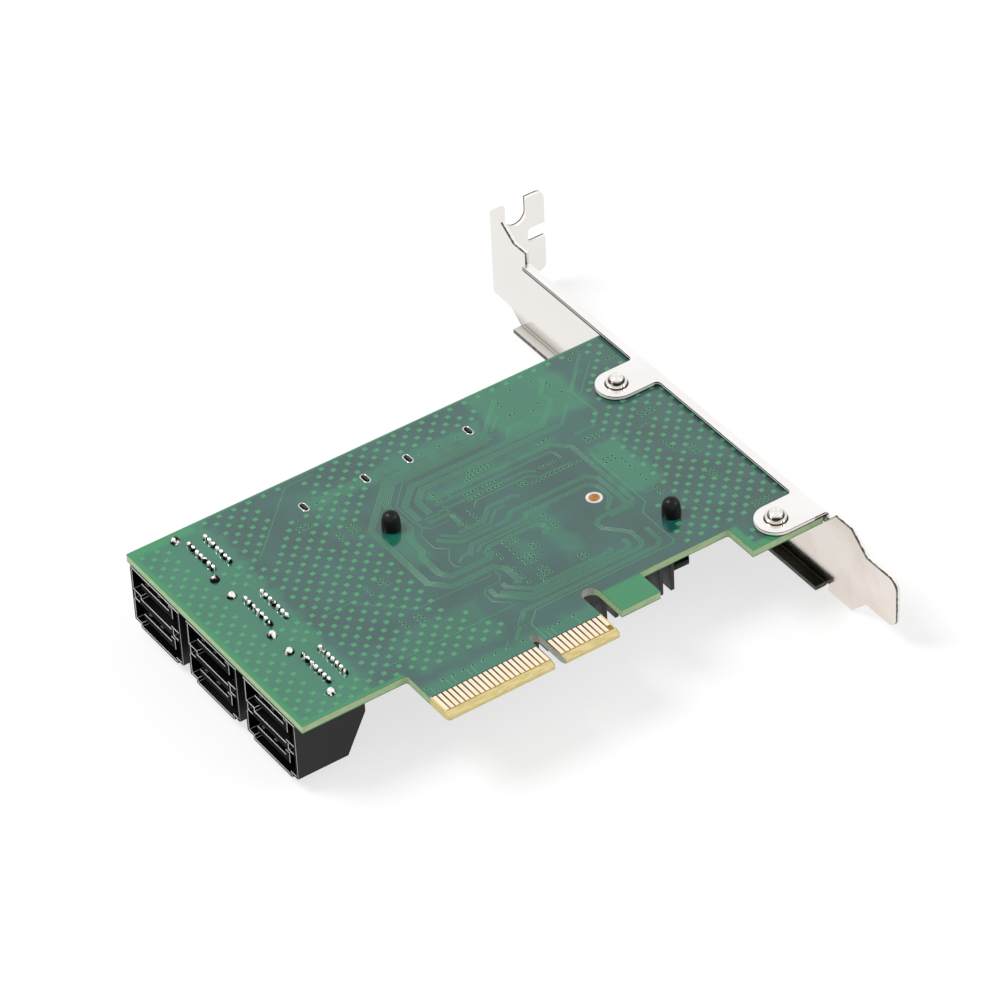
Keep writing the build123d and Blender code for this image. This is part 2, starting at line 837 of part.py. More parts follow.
with BuildPart() as crystal_lid:
    with Locations((crystal_at[0], crystal_at[1], under - 0.6)):
        Box(crystal_l - 0.5, crystal_w - 0.5, 0.4, align=(Align.CENTER, Align.CENTER, Align.MAX))
    chamfer(edges().filter_by(Axis.Z), 0.4)
crystal_lid.part.label = "crystal_lid"
export_step(crystal_lid.part, "parts/crystal_lid.step")

# Voltage regulators: wide tab and two leads, moulded body on top
regulator_w = 6.6
regulator_l = 6.1
regulator_h = 2.3
tab_t = 0.5
with BuildPart() as regulator_tabs:
    for x, y in regulators_at:
        with Locations((x, y + 1.6, under)):
            Box(5.4, regulator_l, tab_t, align=(Align.CENTER, Align.CENTER, Align.MAX))
        with Locations((x - 2.3, y - 3.6, under), (x + 2.3, y - 3.6, under)):
            Box(0.8, 3.4, tab_t, align=(Align.CENTER, Align.CENTER, Align.MAX))
regulator_tabs.part.label = "regulator_tabs"
export_step(regulator_tabs.part, "parts/regulator_tabs.step")

with BuildPart() as regulator_bodies:
    for x, y in regulators_at:
        with Locations((x, y, under - tab_t)):
            Box(regulator_w, regulator_l, regulator_h - tab_t, align=(Align.CENTER, Align.CENTER, Align.MAX))
    chamfer(faces().filter_by(Plane.XY).group_by(Axis.Z)[0].edges(), 0.3)
regulator_bodies.part.label = "regulator_bodies"
export_step(regulator_bodies.part, "parts/regulator_bodies.step")

# Shielded power inductors
inductor_w = 6.0
inductor_h = 3.0
with BuildPart() as power_inductors:
    with Locations(*[(x, y, under) for x, y in inductors_at]):
        Box(inductor_w, inductor_w, inductor_h, align=(Align.CENTER, Align.CENTER, Align.MAX))
    chamfer(edges().filter_by(Axis.Z), 1.2)
    with BuildSketch(Plane.XY.offset(under - inductor_h)):
        with Locations(*inductors_at):
            RegularPolygon(inductor_w / 3, 16)
    extrude(amount=0.3, mode=Mode.SUBTRACT)
power_inductors.part.label = "power_inductors"
export_step(power_inductors.part, "parts/power_inductors.step")

# Tantalum capacitors: terminals folded under the moulded bodies
tantalum_l = 3.5
tantalum_w = 2.8
tantalum_h = 1.9
with BuildPart() as tantalum_terminals:
    for x, y in tantalums_at:
        for s in (-1, 1):
            with Locations((x, y + s * (tantalum_l / 2 - 0.4), under)):
                Box(2.2, 1.0, 0.15, align=(Align.CENTER, Align.CENTER, Align.MAX))
            with Locations((x, y + s * (tantalum_l / 2 + 0.05), under)):
                Box(2.2, 0.1, 1.0, align=(Align.CENTER, Align.CENTER, Align.MAX))
tantalum_terminals.part.label = "tantalum_terminals"
export_step(tantalum_terminals.part, "parts/tantalum_terminals.step")

with BuildPart() as tantalum_bodies:
    with Locations(*[(x, y, under - 0.15) for x, y in tantalums_at]):
        Box(
            tantalum_w, tantalum_l, tantalum_h - 0.15,
            align=(Align.CENTER, Align.CENTER, Align.MAX),
        )
    chamfer(faces().filter_by(Plane.XY).group_by(Axis.Z)[0].edges(), 0.2)
tantalum_bodies.part.label = "tantalum_bodies"
export_step(tantalum_bodies.part, "parts/tantalum_bodies.step")

# Ceramic capacitors: a row above the tongue and a row beside the stacked sockets
ceramic_l = 1.6
ceramic_w = 0.8
ceramic_cap = 0.35
ceramic_at = [
    (coupling_at[0] + i * coupling_pitch, coupling_at[1]) for i in range(coupling_count)
] + [
    (bypass_at[0], bypass_at[1] + i * bypass_pitch) for i in range(bypass_count)
]
with BuildPart() as ceramic_capacitors:
    with Locations(*[(x, y, under) for x, y in ceramic_at]):
        Box(
            ceramic_w, ceramic_l - 2 * ceramic_cap, ceramic_w,
            align=(Align.CENTER, Align.CENTER, Align.MAX),
        )
ceramic_capacitors.part.label = "ceramic_capacitors"
export_step(ceramic_capacitors.part, "parts/ceramic_capacitors.step")

with BuildPart() as ceramic_capacitor_ends:
    with Locations(*[
        (x, y + s * (ceramic_l - ceramic_cap) / 2, under) for x, y in ceramic_at for s in (-1, 1)
    ]):
        Box(ceramic_w, ceramic_cap, ceramic_w, align=(Align.CENTER, Align.CENTER, Align.MAX))
ceramic_capacitor_ends.part.label = "ceramic_capacitor_ends"
export_step(ceramic_capacitor_ends.part, "parts/ceramic_capacitor_ends.step")

# Resistor packs with notched sides
with BuildPart() as resistor_packs:
    for x, y in resistor_packs_at:
        with Locations((x, y, under)):
            Box(3.2, 1.6, 0.6, align=(Align.CENTER, Align.CENTER, Align.MAX))
        with Locations(*[(x + o * 0.8, y + s * 0.8, under) for o in (-1, 0, 1) for s in (-1, 1)]):
            Box(
                0.3, 0.3, 0.6, align=(Align.CENTER, Align.CENTER, Align.MAX), mode=Mode.SUBTRACT
            )
resistor_packs.part.label = "resistor_packs"
export_step(resistor_packs.part, "parts/resistor_packs.step")


# Round bare mark: bright ring and copper dot
with BuildPart() as mark_ring:
    with BuildSketch():
        with Locations(mark_at):
            Circle(mark_d / 2)
            Circle(mark_dot_d / 2, mode=Mode.SUBTRACT)
    extrude(amount=mark_t)
mark_ring.part.label = "mark_ring"
export_step(mark_ring.part, "parts/mark_ring.step")

with BuildPart() as mark_dot:
    with BuildSketch():
        with Locations(mark_at):
            Circle(mark_dot_d / 2)
    extrude(amount=mark_t * 0.6)
mark_dot.part.label = "mark_dot"
export_step(mark_dot.part, "parts/mark_dot.step")
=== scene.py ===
import math
import random

import bmesh
import bpy
from mathutils import Matrix, Vector


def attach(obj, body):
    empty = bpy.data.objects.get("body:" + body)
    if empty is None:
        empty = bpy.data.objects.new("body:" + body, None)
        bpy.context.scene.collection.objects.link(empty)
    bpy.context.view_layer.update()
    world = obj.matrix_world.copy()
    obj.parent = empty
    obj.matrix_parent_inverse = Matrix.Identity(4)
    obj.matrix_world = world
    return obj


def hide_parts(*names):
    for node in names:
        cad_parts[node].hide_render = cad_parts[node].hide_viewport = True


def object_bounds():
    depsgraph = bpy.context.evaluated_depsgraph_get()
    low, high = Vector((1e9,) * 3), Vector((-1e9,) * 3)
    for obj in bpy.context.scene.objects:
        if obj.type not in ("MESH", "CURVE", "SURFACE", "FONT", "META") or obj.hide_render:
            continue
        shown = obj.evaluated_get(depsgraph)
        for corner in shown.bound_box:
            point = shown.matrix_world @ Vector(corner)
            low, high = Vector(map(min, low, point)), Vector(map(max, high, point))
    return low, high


# SATA controller card: the looks of its board, sockets, heatsink and bracket.
# Lengths are written in millimetres and turned to metres where a mesh is made.
MM = 0.001

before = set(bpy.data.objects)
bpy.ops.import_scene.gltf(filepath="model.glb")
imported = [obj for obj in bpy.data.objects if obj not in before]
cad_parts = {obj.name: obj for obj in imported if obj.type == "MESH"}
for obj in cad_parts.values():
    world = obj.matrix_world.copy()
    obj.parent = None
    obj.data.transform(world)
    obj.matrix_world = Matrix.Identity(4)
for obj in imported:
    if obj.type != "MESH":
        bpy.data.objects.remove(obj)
cad_low, cad_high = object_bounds()

scene = bpy.context.scene

# The board's solder side is at z = 0 and its component side at UNDER
BOARD_T = 1.6
UNDER = -BOARD_T
# The stacked sockets: their middles and half width, and the line of their board locks
STACK_Y = (58.5, 40.7, 22.9)
STACK_HALF = 7.75
STACK_SHIFT = -0.35
LOCK_X = -34.37
# The bracket: its sheet, the inner skins of its plate and screw flange, its lip, its lower fold
SHEET = 0.86
PLATE_X = 57.0
FLANGE_Y = 102.74
LIP_X = 55.7
LIP_LOW, LIP_HIGH = 3.18, 91.0
BEND_Z = -15.4


# ---- shader maths

class Value:
    """One node output, with arithmetic that adds Math nodes."""

    def __init__(self, nodes, socket):
        self.nodes = nodes
        self.socket = socket

    def math(self, operation, *values):
        return self.nodes.node("ShaderNodeMath", {"operation": operation}, dict(enumerate(values)))

    def __add__(self, other):
        return self.math("ADD", self, other)

    def __radd__(self, other):
        return self.math("ADD", other, self)

    def __sub__(self, other):
        return self.math("SUBTRACT", self, other)

    def __rsub__(self, other):
        return self.math("SUBTRACT", other, self)

    def __mul__(self, other):
        return self.math("MULTIPLY", self, other)

    def __rmul__(self, other):
        return self.math("MULTIPLY", other, self)

    def __gt__(self, other):
        return self.math("GREATER_THAN", self, other)

    def __lt__(self, other):
        return self.math("LESS_THAN", self, other)

    def __abs__(self):
        return self.math("ABSOLUTE", self)

    def either(self, other):
        """The larger of two masks."""
        return self.math("MAXIMUM", self, other)

    def ease(self, low, high):
        """0 below low, 1 above high, with a smooth step between."""
        return self.nodes.node(
            "ShaderNodeMapRange", {"interpolation_type": "SMOOTHSTEP"},
            {"Value": self, "From Min": low, "From Max": high},
        )

    def past(self, edge, soft):
        """0 before an edge and 1 past it, with a smooth step as far as soft to either side."""
        return self.ease(edge - soft, edge + soft)

    def spread(self, low, high):
        """A 0 to 1 value turned into one from low to high."""
        return self.nodes.node(
            "ShaderNodeMapRange", {}, {"Value": self, "To Min": low, "To Max": high}
        )


class Nodes:
    """A node tree, whose nodes are added one call at a time."""

    def __init__(self, tree):
        self.tree = tree

    def feed(self, socket, value):
        """Gives a socket a link or a fixed value."""
        if isinstance(value, Value):
            self.tree.links.new(value.socket, socket)
        else:
            socket.default_value = value

    def node(self, kind, settings, values, output=0):
        """Adds a node: its settings first, then the values or links of its sockets."""
        made = self.tree.nodes.new(kind)
        for name, setting in settings.items():
            setattr(made, name, setting)
        for name, value in values.items():
            self.feed(made.inputs[name], value)
        return Value(self, made.outputs[output])

    def ray(self, kind):
        """1 for one kind of ray: Camera, Glossy or Transmission."""
        return self.node("ShaderNodeLightPath", {}, {}, f"Is {kind} Ray")


# The clear coat goes between these turns away from the eye, 0 to 1, and this much of it
COAT_FADES = (0.5, 0.8)
COAT_LOSS = 0.8


class Finish(Nodes):
    """A material, made with the fixed values of its shader's own sockets."""

    def __init__(self, name, **fixed):
        self.material = bpy.data.materials.new(name)
        self.material.use_nodes = True
        super().__init__(self.material.node_tree)
        self.shader = self.tree.nodes["Principled BSDF"]
        self.give(**fixed)

    def give(self, **values):
        """Sets or links the shader's own sockets."""
        for words, value in values.items():
            self.feed(self.shader.inputs[words.replace("_", " ")], value)
        return self.material

    def place(self):
        """Object coordinates in millimetres."""
        metres = self.node("ShaderNodeTexCoord", {}, {}, "Object")
        return self.node(
            "ShaderNodeVectorMath", {"operation": "SCALE"}, {0: metres, "Scale": 1 / MM}
        )

    def split(self, place):
        """The x, y and z of a place."""
        made = self.node("ShaderNodeSeparateXYZ", {}, {0: place}).socket.node
        return [Value(self, output) for output in made.outputs]

    def noise(self, place, scale, detail=2.0, stretch=None):
        """Noise from 0 to 1, scale in waves a millimetre."""
        if stretch:
            place = self.node("ShaderNodeMapping", {}, {"Vector": place, "Scale": stretch})
        return self.node(
            "ShaderNodeTexNoise", {}, {"Vector": place, "Scale": scale, "Detail": detail}
        )

    def mix(self, factor, first, second):
        """Mixes two colours."""
        made = self.node("ShaderNodeMix", {"data_type": "RGBA"}, {}).socket.node
        sockets = {socket.identifier: socket for socket in (*made.inputs, *made.outputs)}
        for name, value in (("Factor_Float", factor), ("A_Color", first), ("B_Color", second)):
            self.feed(sockets[name], value)
        return Value(self, sockets["Result_Color"])

    def fading_coat(self, weight):
        """A clear coat that mostly goes at a glancing look."""
        facing = self.node("ShaderNodeLayerWeight", {}, {"Blend": 0.5}, "Facing")
        return (1 - facing.ease(*COAT_FADES) * COAT_LOSS) * weight

    def bump(self, height, distance):
        """A bump in millimetres."""
        return self.node(
            "ShaderNodeBump", {}, {"Height": height, "Distance": distance * MM, "Strength": 1.0}
        )


def srgb(red, green, blue):
    """An opaque colour as seen on a screen, 0 to 255, made linear."""
    linear = (
        ((v / 255 + 0.055) / 1.055) ** 2.4 if v > 10 else v / 255 / 12.92
        for v in (red, green, blue)
    )
    return (*linear, 1.0)


# ---- mesh helpers

# Joins vertices nearer than this, in metres
WELD = 1e-7
# Edges sharper than this, in degrees, are rounded
ROUNDED_FROM = 28
# A circle's plane turned upright
UPRIGHT = Matrix.Rotation(math.pi / 2, 4, "X")


def mesh_of(bm, name="shape"):
    """Closes a bmesh into a mesh."""
    mesh = bpy.data.meshes.new(name)
    bm.to_mesh(mesh)
    bm.free()
    return mesh


def piece_of(mesh, name, slot, *looks, replaces=(), smooth=35):
    """Makes a mesh a piece that rides on the card, shaded smooth below an angle."""
    for look in looks:
        mesh.materials.append(LOOKS[look])
    mesh.polygons.foreach_set("use_smooth", [True] * len(mesh.polygons))
    mesh.set_sharp_from_angle(angle=math.radians(smooth))
    piece = bpy.data.objects.new(name, mesh)
    scene.collection.objects.link(piece)
    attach(piece, "root")
    if replaces:
        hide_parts(*replaces)
    return piece


def finished(bm, name, slot, *looks, **more):
    """Closes a bmesh into a piece."""
    return piece_of(mesh_of(bm, name), name, slot, *looks, **more)


def at(x, y, z):
    """A move to a place."""
    return Matrix.Translation(Vector((x, y, z)) * MM)


def sized(x, y, z):
    """A stretch to a size, for a cube of side 1."""
    return Matrix.Diagonal((x * MM, y * MM, z * MM, 1))


def only(geom, kind):
    return [part for part in geom if isinstance(part, kind)]


def outwards(bm):
    """Welds what meets and turns each face outwards."""
    bmesh.ops.remove_doubles(bm, verts=bm.verts, dist=WELD)
    bmesh.ops.recalc_face_normals(bm, faces=bm.faces)


def turned(bm, profile, x, y, steps):
    """Spins a profile of radii and heights round the upright line at x, y."""
    verts = [bm.verts.new(Vector((x + r, y, z)) * MM) for r, z in profile]
    edges = [bm.edges.new(pair) for pair in zip(verts, verts[1:])]
    bmesh.ops.spin(
        bm, geom=verts + edges, cent=Vector((x, y, 0)) * MM, axis=(0, 0, 1),
        angle=2 * math.pi, steps=steps, use_merge=True,
    )


def repeated(bm, shape, places):
    """Adds a copy of a small shape at each place."""
    for place in places:
        copy = shape.copy()
        copy.transform(place)
        bm.from_mesh(copy)
        bpy.data.meshes.remove(copy)


def softened(node, name, slot, *looks, width, segments=1, edge=-1, pick=None, clamp=False):
    """Stands for a node of the frame, with every sharp edge rounded a little.

    pick gives each face the number of its look, and edge is that of the rounded edges.
    """
    bm = bmesh.new()
    bm.from_mesh(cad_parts[node].data)
    bmesh.ops.remove_doubles(bm, verts=bm.verts, dist=2 * WELD)
    bmesh.ops.dissolve_limit(
        bm, angle_limit=math.radians(0.6), verts=bm.verts, edges=bm.edges,
        use_dissolve_boundaries=False,
    )
    if pick:
        for face in bm.faces:
            face.material_index = pick(face)
    piece = finished(bm, name, slot, *looks, replaces=(node,), smooth=ROUNDED_FROM)
    bevel = piece.modifiers.new("edge", "BEVEL")
    bevel.width = width * MM
    bevel.segments = segments
    bevel.limit_method = "ANGLE"
    bevel.angle_limit = math.radians(ROUNDED_FROM)
    bevel.use_clamp_overlap = clamp
    bevel.material = edge
    bevel.harden_normals = True


# ---- board finish

# Copper under the mask, solder side: x from, x to, y from, y to, how strongly it shows
SOLID_COPPER = (
    (-50, -28, 0, 70, 1.0),
    (-20, -3, 11, 21.5, 0.5),
    (-12, -6.8, 46, 62, 0.35),
    (-6, -1.5, 34.5, 44, 0.6),
    (26, 43.5, 52.5, 67, 1.0),
    (-12, 24, 57.2, 60.4, 0.85),
    (5, 33, 46.8, 49.6, 0.45),
    (34.5, 41.5, 27.5, 42, 1.0),
    (10.2, 12.8, 24, 30.5, 0.6),
    (16.6, 20.4, 21, 35, 0.55),
    (-25, 13, 4, 8.6, 0.8),
)
# Mask over laminate alone, along the edges: x from, x to, y from, y to
BARE_MARGIN = (
    (-50, -41.9, 0, 70), (-50, -22.6, 0, 13.2), (-50, 60, 66.75, 70), (-50, -30, 65, 70),
    (15.2, 24.4, 0, 10.2), (41, 60, 0, 4.9), (41, 43.4, 0, 10.2),
)
# The tongue: its ends, the outer edges of its contacts, the top of the window round them
TONGUE_LEFT, TONGUE_RIGHT = -23.85, 13.95
CONTACTS_LEFT, CONTACTS_RIGHT = -21.85, 11.85
WINDOW_TOP = 5.65
# The two notches beside it: x from, x to, y from, y to
KEY_NOTCH = (-1.2, 1.2, -1, 8.6)
ROUND_NOTCH = (12, 15.1, -1, 20)

DEEP_TEAL = srgb(10, 62, 60)
TEAL = srgb(16, 80, 74)
GREEN = srgb(14, 102, 76)
PALE_GREEN = srgb(20, 110, 82)
RAISED = srgb(56, 146, 90)
MARGIN = srgb(10, 132, 74)
THREAD = srgb(60, 118, 96)


def within(x, y, box, soft):
    """1 inside a box, 0 outside it, with soft sides."""
    left, right, low, high = box[:4]
    return (
        x.past(left, soft) * (1 - x.past(right, soft))
        * y.past(low, soft) * (1 - y.past(high, soft))
    )


def any_of(x, y, boxes, soft):
    """1 inside any of the boxes, or as much as a box's fifth number says."""
    mask = 0.0
    for box in boxes:
        part = within(x, y, box, soft)
        if len(box) > 4:
            part = part * box[4]
        mask = part.either(mask)
    return mask


def mask_colour(finish, place, lift):
    """Colour of the solder mask: lift 0 on the flat board, up to 1 over raised copper."""
    x, y, z = finish.split(place)
    drift = finish.noise(place, 0.35).spread(-2.2, 2.2)
    copper = any_of(x + drift, y + drift, SOLID_COPPER, 1.3) * (z > UNDER / 2)
    margin = any_of(x, y, BARE_MARGIN, 0.5)
    cloud = finish.noise(place, 0.09, 3.0).ease(0.3, 0.7)
    weave = finish.noise(place, 1.6, 1.0, stretch=(1.0, 1.0, 0.2))
    laminate = finish.mix(cloud, DEEP_TEAL, TEAL)
    over_copper = finish.mix(cloud, GREEN, PALE_GREEN)
    colour = finish.mix(copper, laminate, over_copper)
    if lift:
        colour = finish.mix(lift, colour, RAISED)
    colour = finish.mix(margin * 0.8, colour, MARGIN)
    return finish.mix(weave.spread(0.0, 0.12), colour, THREAD)


def board_mask():
    """Glossy mask on both faces, laminate on the edges, bare lip on the tongue."""
    finish = Finish("board_mask", Specular_IOR_Level=0.4, Coat_Roughness=0.03)
    place = finish.place()
    x, y, z = finish.split(place)
    colour = mask_colour(finish, place, 0)
    # the window round the contacts
    on_tongue = (1 - y.past(WINDOW_TOP, 0.07)) * (
        x.past(TONGUE_LEFT, 0.05) * (1 - x.past(TONGUE_RIGHT, 0.05))
    )
    gap = finish.mix(y.ease(1.2, 4.6), srgb(140, 110, 56), srgb(6, 3, 1))
    lip = finish.mix(y.ease(1.0, 1.5), srgb(214, 192, 118), gap)
    beyond = (x > CONTACTS_RIGHT).either(x < CONTACTS_LEFT)
    lip = finish.mix(beyond, lip, srgb(206, 188, 132))
    colour = finish.mix(on_tongue, colour, lip)
    # the cut edges of the laminate
    from_middle = abs(z - UNDER / 2)
    side = 1 - from_middle.past(BOARD_T / 2 - 0.02, 0.01)
    glass = finish.noise(place, 2.4, 3.0, stretch=(0.25, 0.25, 3.0)).ease(0.35, 0.65)
    core = finish.mix(glass, srgb(146, 168, 126), srgb(168, 186, 146))
    skin = finish.mix(from_middle.ease(0.56, 0.68), core, srgb(66, 138, 84))
    routed = finish.mix(glass, srgb(142, 146, 132), srgb(170, 172, 160))
    in_notch = within(x, y, KEY_NOTCH, 0.1).either(within(x, y, ROUND_NOTCH, 0.1))
    edge = finish.mix(in_notch, skin, routed)
    tongue_side = finish.mix(glass, srgb(196, 178, 118), srgb(214, 198, 142))
    by_tongue = (1 - y.past(WINDOW_TOP - 0.05, 0.4)) * (1 - x.ease(13.0, 13.4)) * (1 - in_notch)
    edge = finish.mix(by_tongue, edge, tongue_side)
    colour = finish.mix(side, colour, edge)
    unmasked = side.either(on_tongue)
    return finish.give(
        Base_Color=colour,
        Roughness=unmasked.spread(0.2, 0.62),
        Coat_Weight=finish.fading_coat(1 - unmasked),
        Normal=finish.bump(finish.noise(place, 0.9), 0.004),
    )


def raised_mask(name, lift, blur):
    """Mask over raised copper, which shows through it a lighter green."""
    finish = Finish(name, Roughness=0.34, Specular_IOR_Level=0.4, Coat_Roughness=blur)
    place = finish.place()
    return finish.give(
        Base_Color=mask_colour(finish, place, lift),
        Coat_Weight=finish.fading_coat(0.8),
        Normal=finish.bump(finish.noise(place, 1.1), 0.003),
    )


# ---- other finishes

def on_lip(y, z):
    """1 on the lip and the round-ended tabs."""
    return (z > -0.05) * (z < SHEET + 0.04) * (y > LIP_LOW - 0.01) * (y < LIP_HIGH + 0.01)


def plated_sheet():
    """Bright plated sheet steel with faint rolling lines and handling marks, and painted
    reflection and painted shade.
    """
    finish = Finish("plated_sheet", Metallic=1.0)
    place = finish.place()
    x, y, z = finish.split(place)
    lines = finish.noise(place, 1.2, 3.0, stretch=(1.0, 0.06, 1.0))
    clouds = finish.noise(place, 0.09, 4.0)
    # painted reflection: the plate is painted warmer and darker than the lip, as if it mirrored a
    # warmer, darker room, and lighter further up; the clouds are handling marks
    plate_marks_and_painted_reflection = finish.mix(clouds.ease(0.35, 0.65), srgb(224, 213, 202), srgb(236, 228, 221))
    plate_marks_and_painted_reflection = finish.mix(y.ease(30, 62), plate_marks_and_painted_reflection, srgb(237, 234, 230))
    bright = finish.mix(clouds.ease(0.3, 0.7), srgb(246, 243, 240), srgb(252, 250, 250))
    colour = finish.mix(on_lip(y, z), plate_marks_and_painted_reflection, bright)
    # the fold of the return flange stands in the shade, less so further up
    beside_flange = y.past(LIP_LOW - 0.2, 0.4)
    far = y.ease(20, 70)
    on_plate = x > PLATE_X - 0.5
    fold = (1 - z.ease(BEND_Z + 0.3, BEND_Z + 3.4)) * on_plate * (0.92 - far * 0.4)
    flange = (z < BEND_Z + 1.0) * (1 - on_plate) * (0.86 - far * 0.7)
    colour = finish.mix(fold.either(flange) * beside_flange, colour, srgb(112, 106, 90))
    return finish.give(
        Base_Color=colour,
        Roughness=(lines * 0.5 + clouds * 0.5).spread(0.1, 0.24),
        Normal=finish.bump(lines, 0.0008),
    )


def bright_metal(name, dark, light, low, high, scale=0.8):
    """Plating on a small part, a little uneven."""
    finish = Finish(name, Metallic=1.0)
    place = finish.place()
    patches = finish.noise(place, scale, 3.0)
    return finish.give(
        Base_Color=finish.mix(patches.ease(0.35, 0.65), srgb(*dark), srgb(*light)),
        Roughness=patches.spread(low, high),
        Normal=finish.bump(finish.noise(place, scale * 3), 0.002),
    )


def sheared_steel():
    """Cut edges of the sheet: a dark line where it was sheared, partly painted reflection, the
    rest painted white as a highlight, and painted shadow near black on the lip.
    """
    finish = Finish("sheared_edge", Roughness=0.45, Specular_IOR_Level=0.4)
    place = finish.place()
    x, y, z = finish.split(place)
    torn = finish.noise(place, 1.2, 3.0)
    lip = on_lip(y, z)
    # which part of the sheet's thickness is dark, in the plate, the screw flange and the lip
    in_plate = 1 - (x + torn.spread(-0.2, 0.2)).past(PLATE_X + 0.41, 0.05)
    in_flange = y.past(FLANGE_Y + 0.55, 0.05)
    upright = finish.mix(y > FLANGE_Y - 0.01, in_plate, in_flange)
    by_fold = x > LIP_X - 0.8
    # on the lip, the top band is the dark sheared line and the bottom band is painted shadow where
    # the lip meets the board
    in_lip = (z + by_fold * 0.12).past(0.7, 0.02).either(1 - (z - by_fold * 0.16).past(0.23, 0.03))
    dark = finish.mix(lip, upright, in_lip)
    return_flange = (z < BEND_Z + 0.4) * (x < PLATE_X - 0.1)
    shade = finish.mix(torn.ease(0.4, 0.6), srgb(54, 48, 44), srgb(104, 98, 92))
    # painted shadow: near black on the lip by its fold and along its foot
    shade = finish.mix(lip * by_fold.either(1 - z.past(0.4, 0.1)), shade, srgb(16, 14, 13))
    colour = finish.mix(dark.either(return_flange), srgb(238, 235, 231), shade)
    return finish.give(Base_Color=colour, Normal=finish.bump(torn, 0.01))


def wetted_solder():
    """Bright solder with painted reflection: dark low down and in streaks, as if it mirrored its
    dark surroundings, and darker at the board locks.
    """
    finish = Finish("wetted_solder", Metallic=1.0)
    place = finish.place()
    x, _, z = finish.split(place)
    streaks = finish.noise(place, 0.9, stretch=(1.3, 1.0, 0.7))
    at_lock = x < LOCK_X + 0.95
    # painted reflection: brighter higher up, less so at the board locks
    lit = (streaks + z * (0.22 - at_lock * 0.1)).ease(0.53, 0.64)
    return finish.give(
        Base_Color=finish.mix(lit, srgb(26, 22, 20), srgb(240, 238, 236)),
        Roughness=lit.spread(0.3, 0.1),
        Normal=finish.bump(streaks, 0.004),
    )


def shaded_steel(name, low, high):
    """Plated steel, dark below a height where it stands in the shade of its neighbours."""
    finish = Finish(name, Metallic=1.0)
    place = finish.place()
    z = finish.split(place)[2]
    patches = finish.noise(place, 0.5)
    lit = (z + patches.spread(-0.35, 0.35)).ease(low, high).either(z < UNDER)
    return finish.give(
        Base_Color=finish.mix(lit, srgb(58, 50, 46), srgb(236, 234, 230)),
        Roughness=patches.spread(0.08, 0.2),
        Normal=finish.bump(patches, 0.002),
    )


def moulded_plastic(name, dark, light, rough, grain, shine=0.45):
    """Moulded plastic with a fine grain."""
    finish = Finish(name, Specular_IOR_Level=shine)
    place = finish.place()
    speckle = finish.noise(place, grain)
    cloud = finish.noise(place, 0.15)
    return finish.give(
        Base_Color=finish.mix(cloud.ease(0.3, 0.7), srgb(*dark), srgb(*light)),
        Roughness=speckle.spread(rough - 0.07, rough + 0.07),
        Normal=finish.bump(speckle, 0.004),
    )


def gold_contact():
    """Gold over nickel, with faint wiping marks along each contact."""
    finish = Finish("gold_contact", Metallic=0.85)
    wiped = finish.noise(finish.place(), 1.5, 3.0, stretch=(3.0, 0.25, 1.0))
    return finish.give(
        Base_Color=finish.mix(wiped.ease(0.3, 0.7), srgb(251, 228, 194), srgb(254, 240, 218)),
        Roughness=wiped.spread(0.24, 0.4),
        Normal=finish.bump(wiped, 0.002),
    )


def black_anodised():
    """Black anodised aluminium with fine sawing lines on the fins."""
    finish = Finish("black_anodised", Metallic=0.35, Specular_IOR_Level=0.5)
    sawn = finish.noise(finish.place(), 1.6, stretch=(1.0, 0.12, 4.0))
    return finish.give(
        Base_Color=finish.mix(sawn.ease(0.3, 0.7), srgb(22, 22, 23), srgb(38, 38, 40)),
        Roughness=sawn.spread(0.32, 0.5),
        Normal=finish.bump(sawn, 0.006),
    )


# Darker and lighter colour, roughness, grain in waves a millimetre, and shine
PLASTICS = {
    "socket_plastic": ((8, 8, 9), (13, 13, 15), 0.42, 5.0, 0.28),
    # darker and duller on the stacked sockets' fronts and insides: painted shade
    "socket_inside": ((2, 2, 2), (5, 5, 5), 0.6, 5.0, 0.04),
    # a painted highlight on the sockets' rounded edges
    "socket_rim": ((176, 176, 178), (206, 206, 208), 0.4, 5.0),
    "pin_nylon": ((3, 3, 3), (7, 7, 7), 0.34, 2.0, 0.22),
    "chip_compound": ((34, 34, 35), (46, 46, 47), 0.55, 9.0),
    "grey_pad": ((140, 142, 146), (158, 160, 163), 0.8, 4.0),
    "chip_laminate": ((30, 88, 48), (40, 104, 58), 0.35, 3.0),
    "base_ceramic": ((82, 74, 62), (98, 90, 76), 0.6, 6.0),
    "pressed_ferrite": ((66, 66, 68), (88, 88, 90), 0.72, 7.0),
    "tantalum_case": ((206, 142, 40), (222, 158, 54), 0.45, 5.0),
    "tan_ceramic": ((150, 118, 84), (172, 138, 100), 0.45, 6.0),
    "black_film": ((24, 24, 26), (36, 36, 38), 0.4, 6.0),
    "outline_ink": ((214, 216, 212), (228, 230, 226), 0.6, 6.0),
    # the dark dimples of the vias: painted shade in the drilled holes
    "hole_dark": ((4, 30, 26), (10, 38, 32), 0.3, 4.0),
    # the cross recesses of the screws: painted shade
    "recess_black": ((14, 14, 14), (24, 24, 24), 0.5, 6.0),
    # the tin board locks seen in the oval slots, painted near black as shade
    "slot_lock_dark": ((16, 14, 13), (40, 36, 34), 0.3, 3.0),
}
